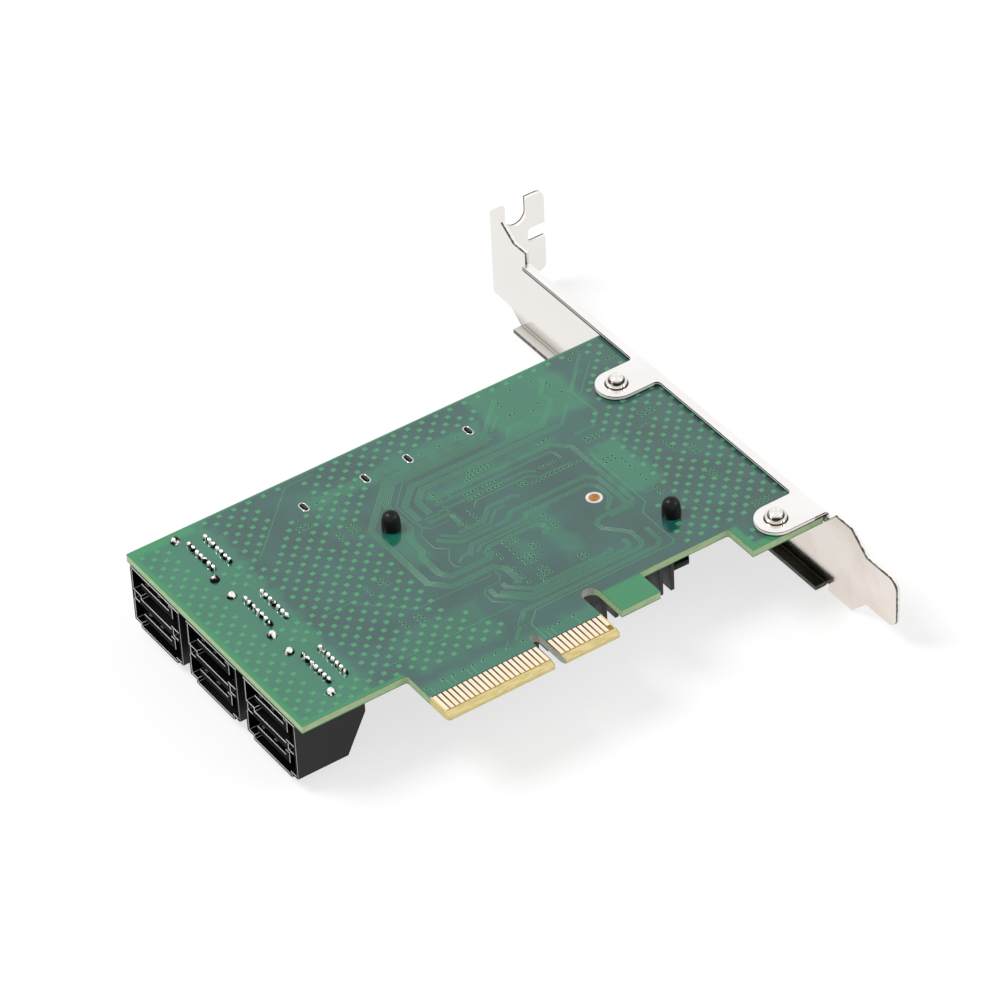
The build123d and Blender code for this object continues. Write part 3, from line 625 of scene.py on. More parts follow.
# Darker and lighter colour, least and most roughness, and patches in waves a millimetre
METALS = {
    "ring_tin": ((206, 206, 204), (240, 240, 238), 0.06, 0.16, 0.5),
    "tinned_copper": ((214, 212, 208), (240, 238, 236), 0.14, 0.3),
    "spring_wire": ((184, 182, 178), (214, 212, 208), 0.2, 0.34),
    "lock_tin": ((196, 194, 190), (224, 222, 218), 0.2, 0.36),
    "nickel_lid": ((206, 200, 188), (228, 222, 210), 0.14, 0.26),
    "mark_copper": ((168, 116, 60), (192, 140, 82), 0.3, 0.46),
}
# How much of the copper's colour shows, and how blurred the coat is
MASKS = {
    "mask_over_squares": (0.8, 0.08),
    # the squares' sloping sides show less copper than their tops: painted shade along their edges
    "mask_over_slopes": (0.2, 0.08),
    "mask_over_tracks": (0.5, 0.35),
}
# The heights between which they turn from dark to bright
SHADED = {"collar_steel": (1.15, 1.5), "screw_tip_steel": (1.85, 2.3)}

LOOKS = {look.name: look for look in (
    board_mask(), plated_sheet(), sheared_steel(), gold_contact(), black_anodised(),
    wetted_solder(),
)}
for made, table in (
    (raised_mask, MASKS), (shaded_steel, SHADED), (moulded_plastic, PLASTICS),
    (bright_metal, METALS),
):
    LOOKS.update({name: made(name, *values) for name, values in table.items()})

# Nodes of the frame that are shown as they are
SHOWN = {
    "circuit_board": "board_mask",
    "edge_contacts_solder_side": "gold_contact",
    "edge_contacts_component_side": "gold_contact",
    "sata_stack_contacts": "gold_contact",
    "sata_stack_board_locks": "lock_tin",
    "top_sata_contacts": "gold_contact",
    # its board locks are painted near black as shade
    "top_sata_board_locks": "slot_lock_dark",
    "thermal_pad": "grey_pad",
    "controller_substrate": "chip_laminate",
    "controller_cap": "chip_compound",
    "flash_memory_body": "chip_compound",
    "flash_memory_leads": "lock_tin",
    "crystal_base": "base_ceramic",
    "crystal_lid": "nickel_lid",
    "regulator_bodies": "chip_compound",
    "regulator_tabs": "lock_tin",
    "power_inductors": "pressed_ferrite",
    "tantalum_bodies": "tantalum_case",
    "tantalum_terminals": "lock_tin",
    "ceramic_capacitors": "tan_ceramic",
    "ceramic_capacitor_ends": "lock_tin",
    "resistor_packs": "black_film",
    "mark_ring": "tinned_copper",
    "mark_dot": "mark_copper",
}
for name, look in SHOWN.items():
    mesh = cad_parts[name].data
    mesh.materials.clear()
    mesh.materials.append(LOOKS[look])


# ---- raised squares

SQUARE_PITCH = 1.49
SQUARE_FIRST = (-27.83, 65.83)
SQUARE_SIDE = 1.0
SQUARE_H = 0.06
# Its top as a share of its foot, and how deep the foot stands in the mask
SQUARE_TOP = 0.84
SQUARE_SINK = 0.004
# Columns and rows of the grid, counted from the first square
COLUMNS = range(-12, 60)
ROWS = range(44)

# Where the chequer of raised squares lies: x from, x to, y from, y to
CHEQUERED = (
    (-42, -36.5, 13.3, 66.5), (-33.2, -28.2, 47.8, 53.2), (-33.2, -28.2, 29.8, 35.4),
    (-36.5, -28.2, 13.3, 17.3), (-28.2, -7.2, 16, 66.5), (-28.2, -4.5, 17.5, 20.5),
    (-28.2, -2, 13, 16), (-19.8, -3.5, 11.8, 13), (-12, 27, 61, 63.8), (-9, 22.5, 64, 65.2),
    (-5, 47.8, 65.3, 66.5), (-9, -0.5, 47, 61), (40.2, 57.4, 11.5, 50), (33.6, 40.2, 11.5, 24),
    (42.6, 57, 5.6, 11.5), (44.6, 54.6, 52, 57.4), (47.4, 54.6, 57.4, 60.5),
    (50.6, 55.6, 60, 66.5),
)
# Left bare inside them
LEFT_BARE = (
    (-28.2, -27.2, 53.5, 65), (-28.2, -27.2, 36, 47.5), (-28.2, -27.2, 17.8, 29.6),
    (-18.8, -9.8, 57.6, 65.4), (-16.9, -13.4, 53.6, 55.4), (-13.2, -7.4, 47.2, 50.6),
    (-16, -11.4, 32.6, 35.6), (-16, -11.4, 22.2, 24.8), (43, 45.4, 8.6, 11.4),
    (47.6, 52, 43.4, 45.6), (45.9, 49.2, 40.9, 42.7), (46.6, 48, 32.6, 36.3),
    (49.6, 51.3, 30, 32.6), (48, 49.8, 22.8, 25.3), (48.8, 53.4, 11.8, 14.2),
    (45.2, 58, 2.8, 11.2), (45.2, 58, 49.6, 56), (48.5, 58, 56, 57.4), (34.6, 38.9, 17.3, 21.6),
    (-0.9, 1.1, 57.4, 61), (51.6, 55.4, 59.8, 61.6),
)
# Bare strips along the slanting tracks: y from, y to, x - y from, x - y to
BARE_STRIPS = (
    (50.2, 70, -77.4, -74.4),
    (47, 58, -57.6, -40),
)


def inside(x, y, boxes):
    return any(a <= x <= b and c <= y <= d for a, b, c, d in boxes)


def chequer(boxes, bare):
    """Centres of the raised squares, every other cell of the grid."""
    for i in COLUMNS:
        for j in ROWS:
            x = SQUARE_FIRST[0] + SQUARE_PITCH * i
            y = SQUARE_FIRST[1] - SQUARE_PITCH * j
            if (i + j) % 2 == 0 and inside(x, y, boxes) and not inside(x, y, bare):
                yield x, y


def square_shape():
    """One raised square, its sides sloping in to a smaller top."""
    bm = bmesh.new()
    bmesh.ops.create_cube(bm, size=1.0, matrix=sized(SQUARE_SIDE, SQUARE_SIDE, SQUARE_H))
    upper = [v for v in bm.verts if v.co.z > 0]
    bmesh.ops.scale(bm, vec=(SQUARE_TOP, SQUARE_TOP, 1), verts=upper)
    top = max(bm.faces, key=lambda face: face.calc_center_median().z)
    # the sides take the second, darker look: painted shade along the edges
    for face in bm.faces:
        face.material_index = int(face is not top)
    return mesh_of(bm)


def raised_squares(name, centres, places):
    """A piece with a raised square at each centre; places gives the matrix of one."""
    bm = bmesh.new()
    repeated(bm, square_shape(), [places(x, y) for x, y in centres])
    finished(bm, name, "solder_mask", "mask_over_squares", "mask_over_slopes", smooth=20)


raised_squares(
    "solder_side_squares",
    [(x, y) for x, y in chequer(CHEQUERED, LEFT_BARE)
     if not any(a < y < b and c < x - y < d for a, b, c, d in BARE_STRIPS)],
    lambda x, y: at(x, y, SQUARE_H / 2 - SQUARE_SINK),
)


# ---- tracks and vias

# Tracks that run side by side, from middle to middle
TRACK_PITCH = 0.33


def beside(route, shift):
    """A route moved sideways by a distance, with its corners kept sharp."""
    moved = []
    for i, point in enumerate(route):
        here = Vector(point)
        ways = []
        if i > 0:
            ways.append((here - Vector(route[i - 1])).normalized())
        if i < len(route) - 1:
            ways.append((Vector(route[i + 1]) - here).normalized())
        sides = [Vector((-way.y, way.x)) for way in ways]
        side = sides[0] if len(sides) == 1 else (sides[0] + sides[1]).normalized()
        moved.append(here + side * (shift / side.dot(sides[0])))
    return moved


def bundle(route, count):
    """Parallel tracks, centred on one route."""
    return [beside(route, (i - (count - 1) / 2) * TRACK_PITCH) for i in range(count)]


# Tracks: how many run side by side, and the route they are centred on
THIN_TRACKS = (
    (1, (-25.5, 52), (-11.6, 65.6), (-5.8, 65.6)),
    (1, (-25.5, 33.2), (-19.5, 33.3), (-11.5, 25.3), (-0.5, 25.3), (0.3, 24.9), (3.5, 24.9)),
    (1, (-23.9, 16.9), (-23.2, 16.3), (3, 16.3)),
    # round the left pin hole
    (4, (24.2, 56.5), (3.1, 56.5), (-6.4, 46.8), (-6.4, 29.7), (-3.6, 26.5), (4.7, 26.5),
     (6.3, 24.9), (6.3, 21.4), (5.6, 20.4)),
    (4, (24.2, 55.2), (3.6, 55.2), (-0.65, 50.7), (-0.65, 43.2), (-2.4, 41.2), (-2.4, 37.3),
     (-3.4, 35.9), (-3.4, 30.7), (-2.2, 28.75), (5.4, 28.75), (6.8, 30.2)),
    (1, (23, 54.3), (5.1, 54.3), (0.65, 49.6), (0.65, 43.8)),
    (1, (1, 43.8), (1, 42.2), (-0.35, 40.6), (-0.35, 36.6), (1.6, 34.8), (-0.2, 32.4),
     (-0.2, 30.6), (0.5, 29.8)),
    (1, (1, 42.2), (2.2, 41.1), (6, 41.1)),
    # across the middle
    (4, (34, 52.4), (5.6, 52.4), (1.7, 48.6), (1.7, 44)),
    (4, (35.4, 50.7), (6.6, 50.7), (4.2, 48.4), (4.2, 44.4)),
    (3, (6, 48.4), (7.2, 47.3), (31, 47.3), (33.8, 44.6), (33.8, 26.8), (32.6, 25.5),
     (28, 25.5)),
    (2, (6, 45.7), (29.8, 45.7), (30.5, 44.9), (30.5, 43.1)),
    (2, (5.5, 44), (23.4, 44), (25, 42.9)),
    (3, (5.2, 37.3), (10.2, 37.3), (13, 39.9), (18, 39.9), (19, 39.1)),
    (2, (2.4, 38.6), (5, 36.2), (11, 36.2), (13.6, 38.6), (15.6, 38.6)),
    (3, (1, 38), (4.2, 35.1), (13.7, 35.1), (15.4, 36.6), (30.9, 36.6), (32.5, 34.9),
     (32.5, 26.8), (31.8, 26.1), (26.6, 26.1)),
    (3, (3.3, 31.3), (5.2, 33.5), (16.2, 33.5), (17.2, 34.6), (29.8, 34.6), (31.2, 33.1),
     (31.2, 29.6), (28.6, 26.9)),
    (2, (4.9, 31.2), (6.2, 32.4), (16.4, 32.4)),
    (3, (5.6, 29.8), (7.3, 31.3), (16.4, 31.3), (17.7, 30.4), (17.7, 29.2), (16.4, 28.3)),
    (2, (0.8, 30.8), (2.2, 31.9), (3.4, 31.9)),
    (3, (2.6, 42.6), (6.4, 42.6), (6.9, 41.6), (6.9, 39.4), (6.2, 38.7)),
    (2, (2.4, 43.7), (5.6, 43.7)),
    # lower middle
    (3, (3.6, 22.2), (3.6, 21), (7, 17.8), (22.8, 17.8), (23.5, 18.6)),
    (3, (2, 20.4), (5.8, 16.7), (25.6, 16.7), (26.4, 17.6), (26.4, 19)),
    (3, (1, 22.2), (1, 20.2), (5.4, 15.6), (27.4, 15.6), (28.5, 16.6), (28.5, 20), (25.2, 23.6),
     (25.2, 25.2), (26.6, 26.1)),
    (3, (-0.3, 11.4), (2.4, 14.1), (29.8, 14.1), (31.2, 15.2), (31.2, 19.2)),
    (1, (4.4, 25.5), (4.5, 24.1), (3.5, 22.7), (0.6, 22.6), (-0.35, 21.7), (-0.35, 19.3),
     (2.2, 16.9)),
    # upper right
    (3, (23.6, 56.5), (30.6, 63.5)),
    (2, (25, 56.3), (28.4, 59.6)),
    (1, (24.2, 55.6), (35, 55.4)),
    (1, (26.2, 53.4), (28, 55.3), (31, 55.3)),
    (3, (32.6, 52), (38.3, 57.4), (37.7, 59.6), (40.6, 63.2)),
    (2, (35.6, 50.4), (40, 54.7)),
    (2, (36, 46.9), (40, 46.9), (42.7, 49.7), (42.5, 57.4), (50, 65)),
    (1, (43, 55.2), (50, 62)),
    (1, (43, 57.5), (46, 60.5), (47.5, 61.1)),
    (2, (-3, 8.7), (2.3, 13.6)),
    (1, (-6, 7.5), (-3.9, 9.5)),
    *((1, (x, 5.9), (x, 7.7)) for x in (-20.8, -17.5, -16.5, -13.5, -12.5, 2.5, 3.5, 8.3)),
)
WIDE_TRACKS = (
    (1, (1.5, 6), (1.5, 10.6), (4.2, 13.1), (32.5, 13.1), (33.1, 14), (33.1, 22.8), (35.2, 24.8),
     (35.2, 40.8)),
    (1, (11, 41.3), (12.4, 42.6), (23.2, 42.6), (24.5, 41.3), (31.3, 41.2)),
)


def raised_tracks(name, table, width, height, z):
    """Low rounded ridges along a table's routes."""
    curve = bpy.data.curves.new(name, "CURVE")
    curve.dimensions = "3D"
    curve.twist_mode = "Z_UP"
    curve.bevel_depth = width / 2 * MM
    curve.bevel_resolution = 1
    curve.use_fill_caps = True
    routes = [lane for count, *middle in table for lane in bundle(middle, count)]
    for route in routes:
        line = curve.splines.new("POLY")
        line.points.add(len(route) - 1)
        for point, (x, y) in zip(line.points, route):
            point.co = (x * MM, y * MM, 0, 1)
    holder = bpy.data.objects.new(name + "_line", curve)
    scene.collection.objects.link(holder)
    mesh = bpy.data.meshes.new_from_object(
        holder.evaluated_get(bpy.context.evaluated_depsgraph_get())
    )
    bpy.data.objects.remove(holder)
    flatter = Matrix.Diagonal((1, 1, 2 * height / width, 1))
    mesh.transform(Matrix.Translation((0, 0, z * MM)) @ flatter)
    mesh.materials.clear()
    piece_of(mesh, name, "solder_mask", "mask_over_tracks", smooth=80)


raised_tracks("thin_tracks", THIN_TRACKS, 0.17, 0.03, 0.0)
raised_tracks("wide_tracks", WIDE_TRACKS, 0.26, 0.045, 0.0)


def blocks(boxes):
    """Places of the vias of each block."""
    places = []
    for x, y, across, up, *pitch in boxes:
        step = pitch[0] if pitch else 0.95
        places += [
            (x + (i - (across - 1) / 2) * step, y + (j - (up - 1) / 2) * step)
            for i in range(across) for j in range(up)
        ]
    return places


# Blocks of vias: middle x, middle y, how many across and up, and their pitch if not 0.95
SOLDER_SIDE_BLOCKS = (
    (-15, 54.5, 3, 2), (-8.4, 49.3, 2, 3), (-11.4, 48.5, 1, 3), (-12.2, 34.5, 2, 3),
    (-15.3, 34, 1, 3), (-12.2, 23, 2, 3), (-15.3, 23.5, 1, 3), (11.4, 30.3, 2, 2),
    (11.3, 24.5, 2, 3), (11.3, 20.5, 2, 3), (13.5, 27, 2, 2), (16.3, 49.2, 3, 2, 0.8),
    (18.9, 49.2, 3, 2, 0.8), (14.4, 48.3, 2, 2, 0.7), (12.9, 45, 4, 1, 0.8),
    (12.9, 43.6, 4, 1, 0.8), (16.9, 45, 4, 1, 0.8), (16.9, 43.6, 4, 1, 0.8),
    (21.3, 41.5, 2, 2, 0.8), (27.7, 40.6, 11, 1), (27.6, 43.2, 4, 1), (30.7, 48.8, 3, 1),
    (38.2, 44.5, 4, 2), (36.9, 37.8, 3, 2), (49.9, 44.5, 4, 2), (47, 41.8, 3, 1),
    (47.3, 34.5, 1, 4), (50.4, 31.3, 2, 3), (48.9, 24, 2, 3), (51, 13, 4, 2),
    (18.5, 19.7, 2, 2), (53.8, 60.8, 3, 1),
)
SOLDER_SIDE_VIAS = (
    blocks(SOLDER_SIDE_BLOCKS)
    + [(9.8, y) for y in (46.5, 41.2, 40.2, 39.2, 38.2, 30.6, 29.5, 28.4, 27.2, 26, 24.9, 24,
                          20.2, 19.3, 18.5)]
    + [(7.3, y) for y in (49, 48.2, 46.5, 44.7, 43.4, 42, 41.2, 40.2, 38.6, 37.8, 29.8, 28.7,
                          27.5, 24, 22.6, 21.3, 19.6)]
    + [(19.3, y) for y in (35.5, 34.3, 32.7, 31.2, 29.5, 28.6)]
    + [(38.7, y) for y in (36.6, 35.6, 34.2, 32.7, 31.2, 29.5, 26.8, 25.8, 25)]
    + [(x, 58.6) for x in (-9.7, -5.7, -2, 11.8, 15.6, 19.3)]
    + [(6.1, 64.5), (30.3, 62), (30.3, 61), (30.1, 58.1), (31.1, 58.1), (34.1, 56.7), (35.9, 57.9),
       (41.1, 58), (34.1, 63.8), (38.5, 63.8), (40.4, 61.7), (40.4, 60.6), (49.2, 65.6),
       (50.3, 65.6), (47.6, 64.6)]
    + [(x, 8.0) for x in (-21.4, -18, -16, -14, -12, -10, -7.5, -5, -2, 3.4, 4.4, 5.4, 8.3)]
)

# A via's rim: radii of its foot and top, height, width, the dip in it, and its middle's height
VIA_FOOT, VIA_TOP = 0.36, 0.28
VIA_H = 0.05
VIA_RIM = 0.08
VIA_DIP = 0.03
VIA_Z = 0.018


def via_shape():
    """A mask-covered rim with a dimple in the middle, painted dark as the shade in the hole."""
    bm = bmesh.new()
    bmesh.ops.create_cone(
        bm, cap_ends=True, segments=10, radius1=VIA_FOOT * MM, radius2=VIA_TOP * MM,
        depth=VIA_H * MM,
    )
    top = max(bm.faces, key=lambda face: face.calc_center_median().z)
    bmesh.ops.inset_region(bm, faces=[top], thickness=VIA_RIM * MM)
    made = bmesh.ops.extrude_face_region(bm, geom=[top])
    sunk = only(made["geom"], bmesh.types.BMVert)
    bmesh.ops.delete(bm, geom=[top], context="FACES_ONLY")
    bmesh.ops.translate(bm, vec=(0, 0, -VIA_DIP * MM), verts=sunk)
    for face in bm.faces:
        if all(v in sunk for v in face.verts):
            face.material_index = 1
    outwards(bm)
    return mesh_of(bm)


def vias(name, places, z, turn):
    """Vias on one face of the board, turned to it."""
    bm = bmesh.new()
    turning = Matrix.Rotation(turn, 4, "X")
    repeated(bm, via_shape(), [at(x, y, z) @ turning for x, y in places])
    finished(bm, name, "solder_mask", "mask_over_squares", "hole_dark")


vias("solder_side_vias", SOLDER_SIDE_VIAS, VIA_Z, 0)


# ---- component side

COMPONENT_CHEQUERED = (
    (49.4, 57.4, 11.5, 49.5), (40, 56.5, 60, 66.5), (-28, -23.6, 43.5, 66), (26.5, 30, 52, 66),
    (-21, -13.5, 11.6, 14.2),
)
COMPONENT_BARE = (
    (34.6, 38.9, 17.3, 21.6),
    (45.2, 53.6, 49, 57.4),
)
COMPONENT_TRACKS = (
    (2, (-28.4, 56), (-25.4, 56), (-22.4, 53), (-22.4, 46), (-13.4, 44.2), (-2, 44.2)),
    (2, (-28.4, 38.2), (-26.2, 36), (-8, 36), (-3, 38)),
    (2, (-28.4, 33.6), (-9, 33.6), (-4, 34.6)),
    (2, (-28.4, 21), (-26, 23.4), (-8, 23.4), (-2, 28)),
    (2, (-4.4, 9), (-4.4, 12.6), (1, 15.4), (4, 15.4)),
    (2, (2.6, 9), (2.6, 11.4), (4.6, 13.2)),
    (3, (34.6, 47), (39.6, 47), (41, 48.4), (41, 56)),
    (3, (35, 26), (40.2, 26), (40.2, 36.4)),
    (1, (-23, 25), (-21, 25)),
    (1, (-23, 28.4), (-21.4, 28.4)),
    (1, (-12, 19.4), (-12, 21.4)),
)
COMPONENT_BLOCKS = (
    (-22.4, 43.6, 3, 1), (-9.4, 39, 3, 2), (-8.6, 27, 3, 2), (-16, 25.2, 4, 1),
    (41.2, 24.6, 2, 3), (41, 58.4, 4, 1), (50, 9.4, 1, 3), (29, 56, 2, 2), (-27, 30.4, 2, 2),
)
# Inked outlines of the parts: middle x, middle y, width, length
INKED_OUTLINES = (
    (-17, 30, 9, 6.4), (-12, 17.5, 6.2, 4.4),
    (45, 40.6, 8, 11.6), (45, 28.6, 8, 11.6),
    (-19, 50, 7.2, 7.2), (46, 18, 7.2, 7.2),
    (-22, 39, 3.4, 5.2), (-15, 39, 3.4, 5.2),
    (32, 61, 3.4, 5.2), (38, 61, 3.4, 5.2),
)
INK_W = 0.16
INK_T = 0.03
INK_SINK = 0.005


def inked_outlines():
    """Thin outlines round the parts, four bars each."""
    bm = bmesh.new()
    for x, y, across, up in INKED_OUTLINES:
        for i, j, width, length in (
            (1, 0, INK_W, up), (-1, 0, INK_W, up),
            (0, 1, across - INK_W, INK_W), (0, -1, across - INK_W, INK_W),
        ):
            middle = at(
                x + i * across / 2, y + j * (up - INK_W) / 2, UNDER - INK_T / 2 + INK_SINK
            )
            bmesh.ops.create_cube(bm, size=1.0, matrix=middle @ sized(width, length, INK_T))
    finished(bm, "inked_outlines", "solder_mask", "outline_ink")


inked_outlines()
raised_squares(
    "component_side_squares",
    chequer(COMPONENT_CHEQUERED, COMPONENT_BARE),
    lambda x, y: (
        at(x, y, UNDER - SQUARE_H / 2 + SQUARE_SINK) @ Matrix.Rotation(math.pi, 4, "X")
    ),
)
raised_tracks("component_side_tracks", COMPONENT_TRACKS, 0.2, 0.03, UNDER)
vias("component_side_vias", blocks(COMPONENT_BLOCKS), UNDER - VIA_Z, math.pi)


# ---- pressed and moulded pieces

# The largest face, in square millimetres, that is a cut end of the sheet and not a skin
CUT_AREA = 12
# The sockets' fronts and insides are further out than this
STACK_FRONT_X = -32


def cut_face(face):
    """1 on the sheared edges of the sheet, 0 on its two skins."""
    for edge in face.edges:
        along = (edge.verts[1].co - edge.verts[0].co).normalized()
        across = face.normal.cross(along)
        reach = [v.co.dot(across) for v in face.verts]
        if abs(max(reach) - min(reach) - SHEET * MM) < 0.02 * MM:
            return 1
    return int(abs(face.normal.y) > 0.99 and face.calc_area() < CUT_AREA * MM * MM)


def stack_face(face):
    """0 on the outer walls of a stacked socket, 2 on its front and inside, which are painted
    darker as shade.
    """
    middle = face.calc_center_median() / MM
    row = min(STACK_Y, key=lambda y: abs(middle.y - y))
    outer = abs(abs(middle.y - row - STACK_SHIFT) - STACK_HALF) < 0.1 and abs(face.normal.y) > 0.9
    return 0 if outer or face.normal.x > 0.3 or middle.x > STACK_FRONT_X else 2


softened(
    "bracket", "bracket_sheet", "bracket_steel", "plated_sheet", "sheared_edge",
    width=0.06, segments=2, edge=0, pick=cut_face, clamp=True,
)
# the light grey on the sockets' rounded edges is a painted highlight
softened(
    "sata_stack_housings", "stacked_socket_housings", "port_plastic",
    "socket_plastic", "socket_rim", "socket_inside", width=0.09, edge=1, pick=stack_face,
)
# here too the rounded edges take the painted highlight
softened(
    "top_sata_housings", "top_socket_housings", "port_plastic", "socket_plastic", "socket_rim",
    width=0.05, edge=1,
)
softened("heatsink", "finned_heatsink", "heatsink_black", "black_anodised", width=0.05)

EAR_PLACES = ((49.5, 6.98), (49.5, 53.23))
# Profiles are pairs of a radius and a height. The collar's heights are from the sheet's skin.
COLLAR = (
    (1.2, -0.1), (1.2, 0.3), (1.5, 0.42), (1.53, 0.64), (1.6, 0.71), (1.7, 0.7), (1.78, 0.58),
    (1.82, 0.34), (1.95, 0.12), (2.15, 0.005), (2.15, -0.1), (1.2, -0.1),
)
# The screw's head, from the board's underside, one turn of its thread, and its point
SCREW_HEAD = (
    (0, -1.85), (1.1, -1.85), (1.7, -1.72), (2.3, -1.35), (2.68, -0.85), (2.75, -0.3),
    (2.7, -0.01), (1.26, 0),
)
THREAD_TURN = ((1.26, 0.05), (1.44, 0.19), (1.44, 0.25), (1.26, 0.39))
THREAD_TURNS = 9
THREAD_PITCH = 0.4
SCREW_POINT = (
    (1.3, 1.96), (1.24, 2.16), (1.08, 2.32), (0.94, 2.38), (0.7, 2.38), (0.64, 2.33),
    (0.58, 2.38), (0, 2.38),
)
# The arms of the cross in its head: length, width and depth, their middle and their turn
CROSS_ARM = (2.4, 0.55, 0.5)
CROSS_Z = UNDER - 1.62
CROSS_TURN = 0.5


def lifted(profile, height):
    return [(r, z + height) for r, z in profile]


def collar_rolls():
    """Rolled metal of the two tapped collars."""
    bm = bmesh.new()
    for x, y in EAR_PLACES:
        turned(bm, lifted(COLLAR, SHEET), x, y, 40)
    outwards(bm)
    finished(bm, "collar_rolls", "bracket_steel", "collar_steel", smooth=50)


def bracket_screw_bodies():
    """Threaded shafts with a turned point above, cross-slotted heads below."""
    profile = lifted(SCREW_HEAD, UNDER)
    for i in range(THREAD_TURNS):
        profile += lifted(THREAD_TURN, UNDER + i * THREAD_PITCH)
    bm = bmesh.new()
    for x, y in EAR_PLACES:
        turned(bm, [*profile, *SCREW_POINT], x, y, 32)
    outwards(bm)
    finished(
        bm, "bracket_screw_bodies", "screw_steel", "screw_tip_steel",
        replaces=("bracket_screws",), smooth=30,
    )


def screw_crosses():
    """Cross recesses in the screw heads, dark blocks that stand for the shade in them."""
    bm = bmesh.new()
    for x, y in EAR_PLACES:
        for turn in (CROSS_TURN, CROSS_TURN + math.pi / 2):
            bmesh.ops.create_cube(bm, size=1.0, matrix=(
                at(x, y, CROSS_Z) @ Matrix.Rotation(turn, 4, "Z") @ sized(*CROSS_ARM)
            ))
    finished(bm, "screw_crosses", "screw_steel", "recess_black")


collar_rolls()
bracket_screw_bodies()
screw_crosses()

# The oval slots: their places, the radius of their ends and half their straight part
SLOT_PLACES = [(x + side * 6.3, 59.1) for x in (-5.7, 15.73) for side in (-1, 1)]
SLOT_R = 0.575
SLOT_HALF = 0.6
# The bead of solder round them: its radius, how high it lies and how much it is flattened
BEAD_R = 0.12
BEAD_Z = 0.03
BEAD_FLATTENED = 0.8


def slot_solder():
    """Rounded solder round the four oval slots."""
    bm = bmesh.new()
    for x, y in SLOT_PLACES:
        ring = bmesh.ops.create_circle(
            bm, cap_ends=False, segments=8, radius=BEAD_R * MM,
            matrix=at(x + SLOT_R, y + SLOT_HALF, BEAD_Z) @ UPRIGHT,
        )["verts"]
        geom = list(ring) + list({e for v in ring for e in v.link_edges})
        for way in (1, -1):
            made = bmesh.ops.spin(
                bm, geom=geom, cent=Vector((x, y + way * SLOT_HALF, 0)) * MM, axis=(0, 0, 1),
                angle=math.pi, steps=10,
            )
            made = bmesh.ops.extrude_edge_only(
                bm, edges=only(made["geom_last"], bmesh.types.BMEdge)
            )
            moved = only(made["geom"], bmesh.types.BMVert)
            bmesh.ops.translate(bm, vec=(0, -way * 2 * SLOT_HALF * MM, 0), verts=moved)
            joined = only(made["geom"], bmesh.types.BMEdge)
            geom = moved + [e for e in joined if all(v in moved for v in e.verts)]
    bmesh.ops.scale(bm, vec=(1, 1, BEAD_FLATTENED), verts=bm.verts)
    outwards(bm)
    finished(
        bm, "slot_solder", "ring_silver", "ring_tin", replaces=("top_slot_rings",), smooth=60
    )


slot_solder()


# ---- solder joints

# The two rows of contact tails of each socket, and how far its board locks are from its middle
ROW_X = (-33.13, -29.86)
PIN_PITCH = 1.27
PINS = 7
LOCK_REACH = 6.28
# Profiles of the joints: a foot, and the rise, which differs from joint to joint
PIN_FOOT = ((0, 0), (0.57, 0), (0.55, 0.06))
PIN_RISE = ((0.49, 0.2), (0.45, 0.42), (0.4, 0.64), (0.3, 0.82), (0.16, 0.92), (0, 0.95))
LOCK_FOOT = ((0, 0), (0.93, 0), (0.9, 0.08))
LOCK_RISE = ((0.78, 0.26), (0.68, 0.5), (0.52, 0.74), (0.3, 0.9), (0, 0.96))


def solder_fillets():
    """Solder drawn up round each contact tail and each board lock."""
    uneven = random.Random(6)
    bm = bmesh.new()

    def joint(foot, rise, x, y, steps):
        tall = uneven.uniform(0.9, 1.1)
        turned(bm, [*foot, *((r, z * tall) for r, z in rise)], x, y, steps)

    for stack_y in STACK_Y:
        for x in ROW_X:
            for i in range(PINS):
                y = stack_y + (i - (PINS - 1) / 2) * PIN_PITCH
                joint(PIN_FOOT, PIN_RISE, x, y, 12)
        for side in (-1, 1):
            joint(LOCK_FOOT, LOCK_RISE, LOCK_X, stack_y + side * LOCK_REACH, 16)
    outwards(bm)
    finished(
        bm, "solder_fillets", "solder", "wetted_solder", replaces=("sata_solder_joints",),
        smooth=50,
    )


solder_fillets()


# ---- push pins and springs

PIN_PLACES = ((-3.17, 45.4), (36.67, 19.4))
PIN_TURN = math.radians(-31.8)
# Heights of the spring's lower end and of the shaft's two ends
SPRING_LOW = -8.8
SHAFT_LOW, SHAFT_HIGH = SPRING_LOW - 0.2, -2.0
SHAFT_R = 1.5
# The six-sided head: its radius, thickness and rounding
HEAD_R = 3.2
HEAD_T = 1.2
HEAD_ROUNDED = 0.18
# Profile of the split tip, and half the gap in it
PIN_TIP = (
    (0, -2.05), (1.48, -2.05), (1.48, 0.08), (1.66, 0.12), (1.7, 0.3), (1.66, 1.3), (1.6, 1.9),
    (1.5, 2.4), (1.34, 2.84), (1.08, 3.2), (0.7, 3.46), (0.3, 3.58), (0, 3.6),
)
SPLIT_HALF = 0.05
# The spring: radii of its turns and of its wire, and each run's turns and rise
SPRING_R = 2.3
WIRE_R = 0.25
RUNS = ((1.0, 0.52), (2.0, 1.86), (1.0, 0.5))
STEPS_A_TURN = 28


def half_tip():
    """One springy half of a pin's tip."""
    bm = bmesh.new()
    turned(bm, PIN_TIP, 0, 0, 32)
    outwards(bm)
    cut = bmesh.ops.bisect_plane(
        bm, geom=bm.verts[:] + bm.edges[:] + bm.faces[:], plane_co=(SPLIT_HALF * MM, 0, 0),
        plane_no=(1, 0, 0), clear_inner=True,
    )
    bmesh.ops.contextual_create(bm, geom=only(cut["geom_cut"], bmesh.types.BMEdge))
    outwards(bm)
    return mesh_of(bm)


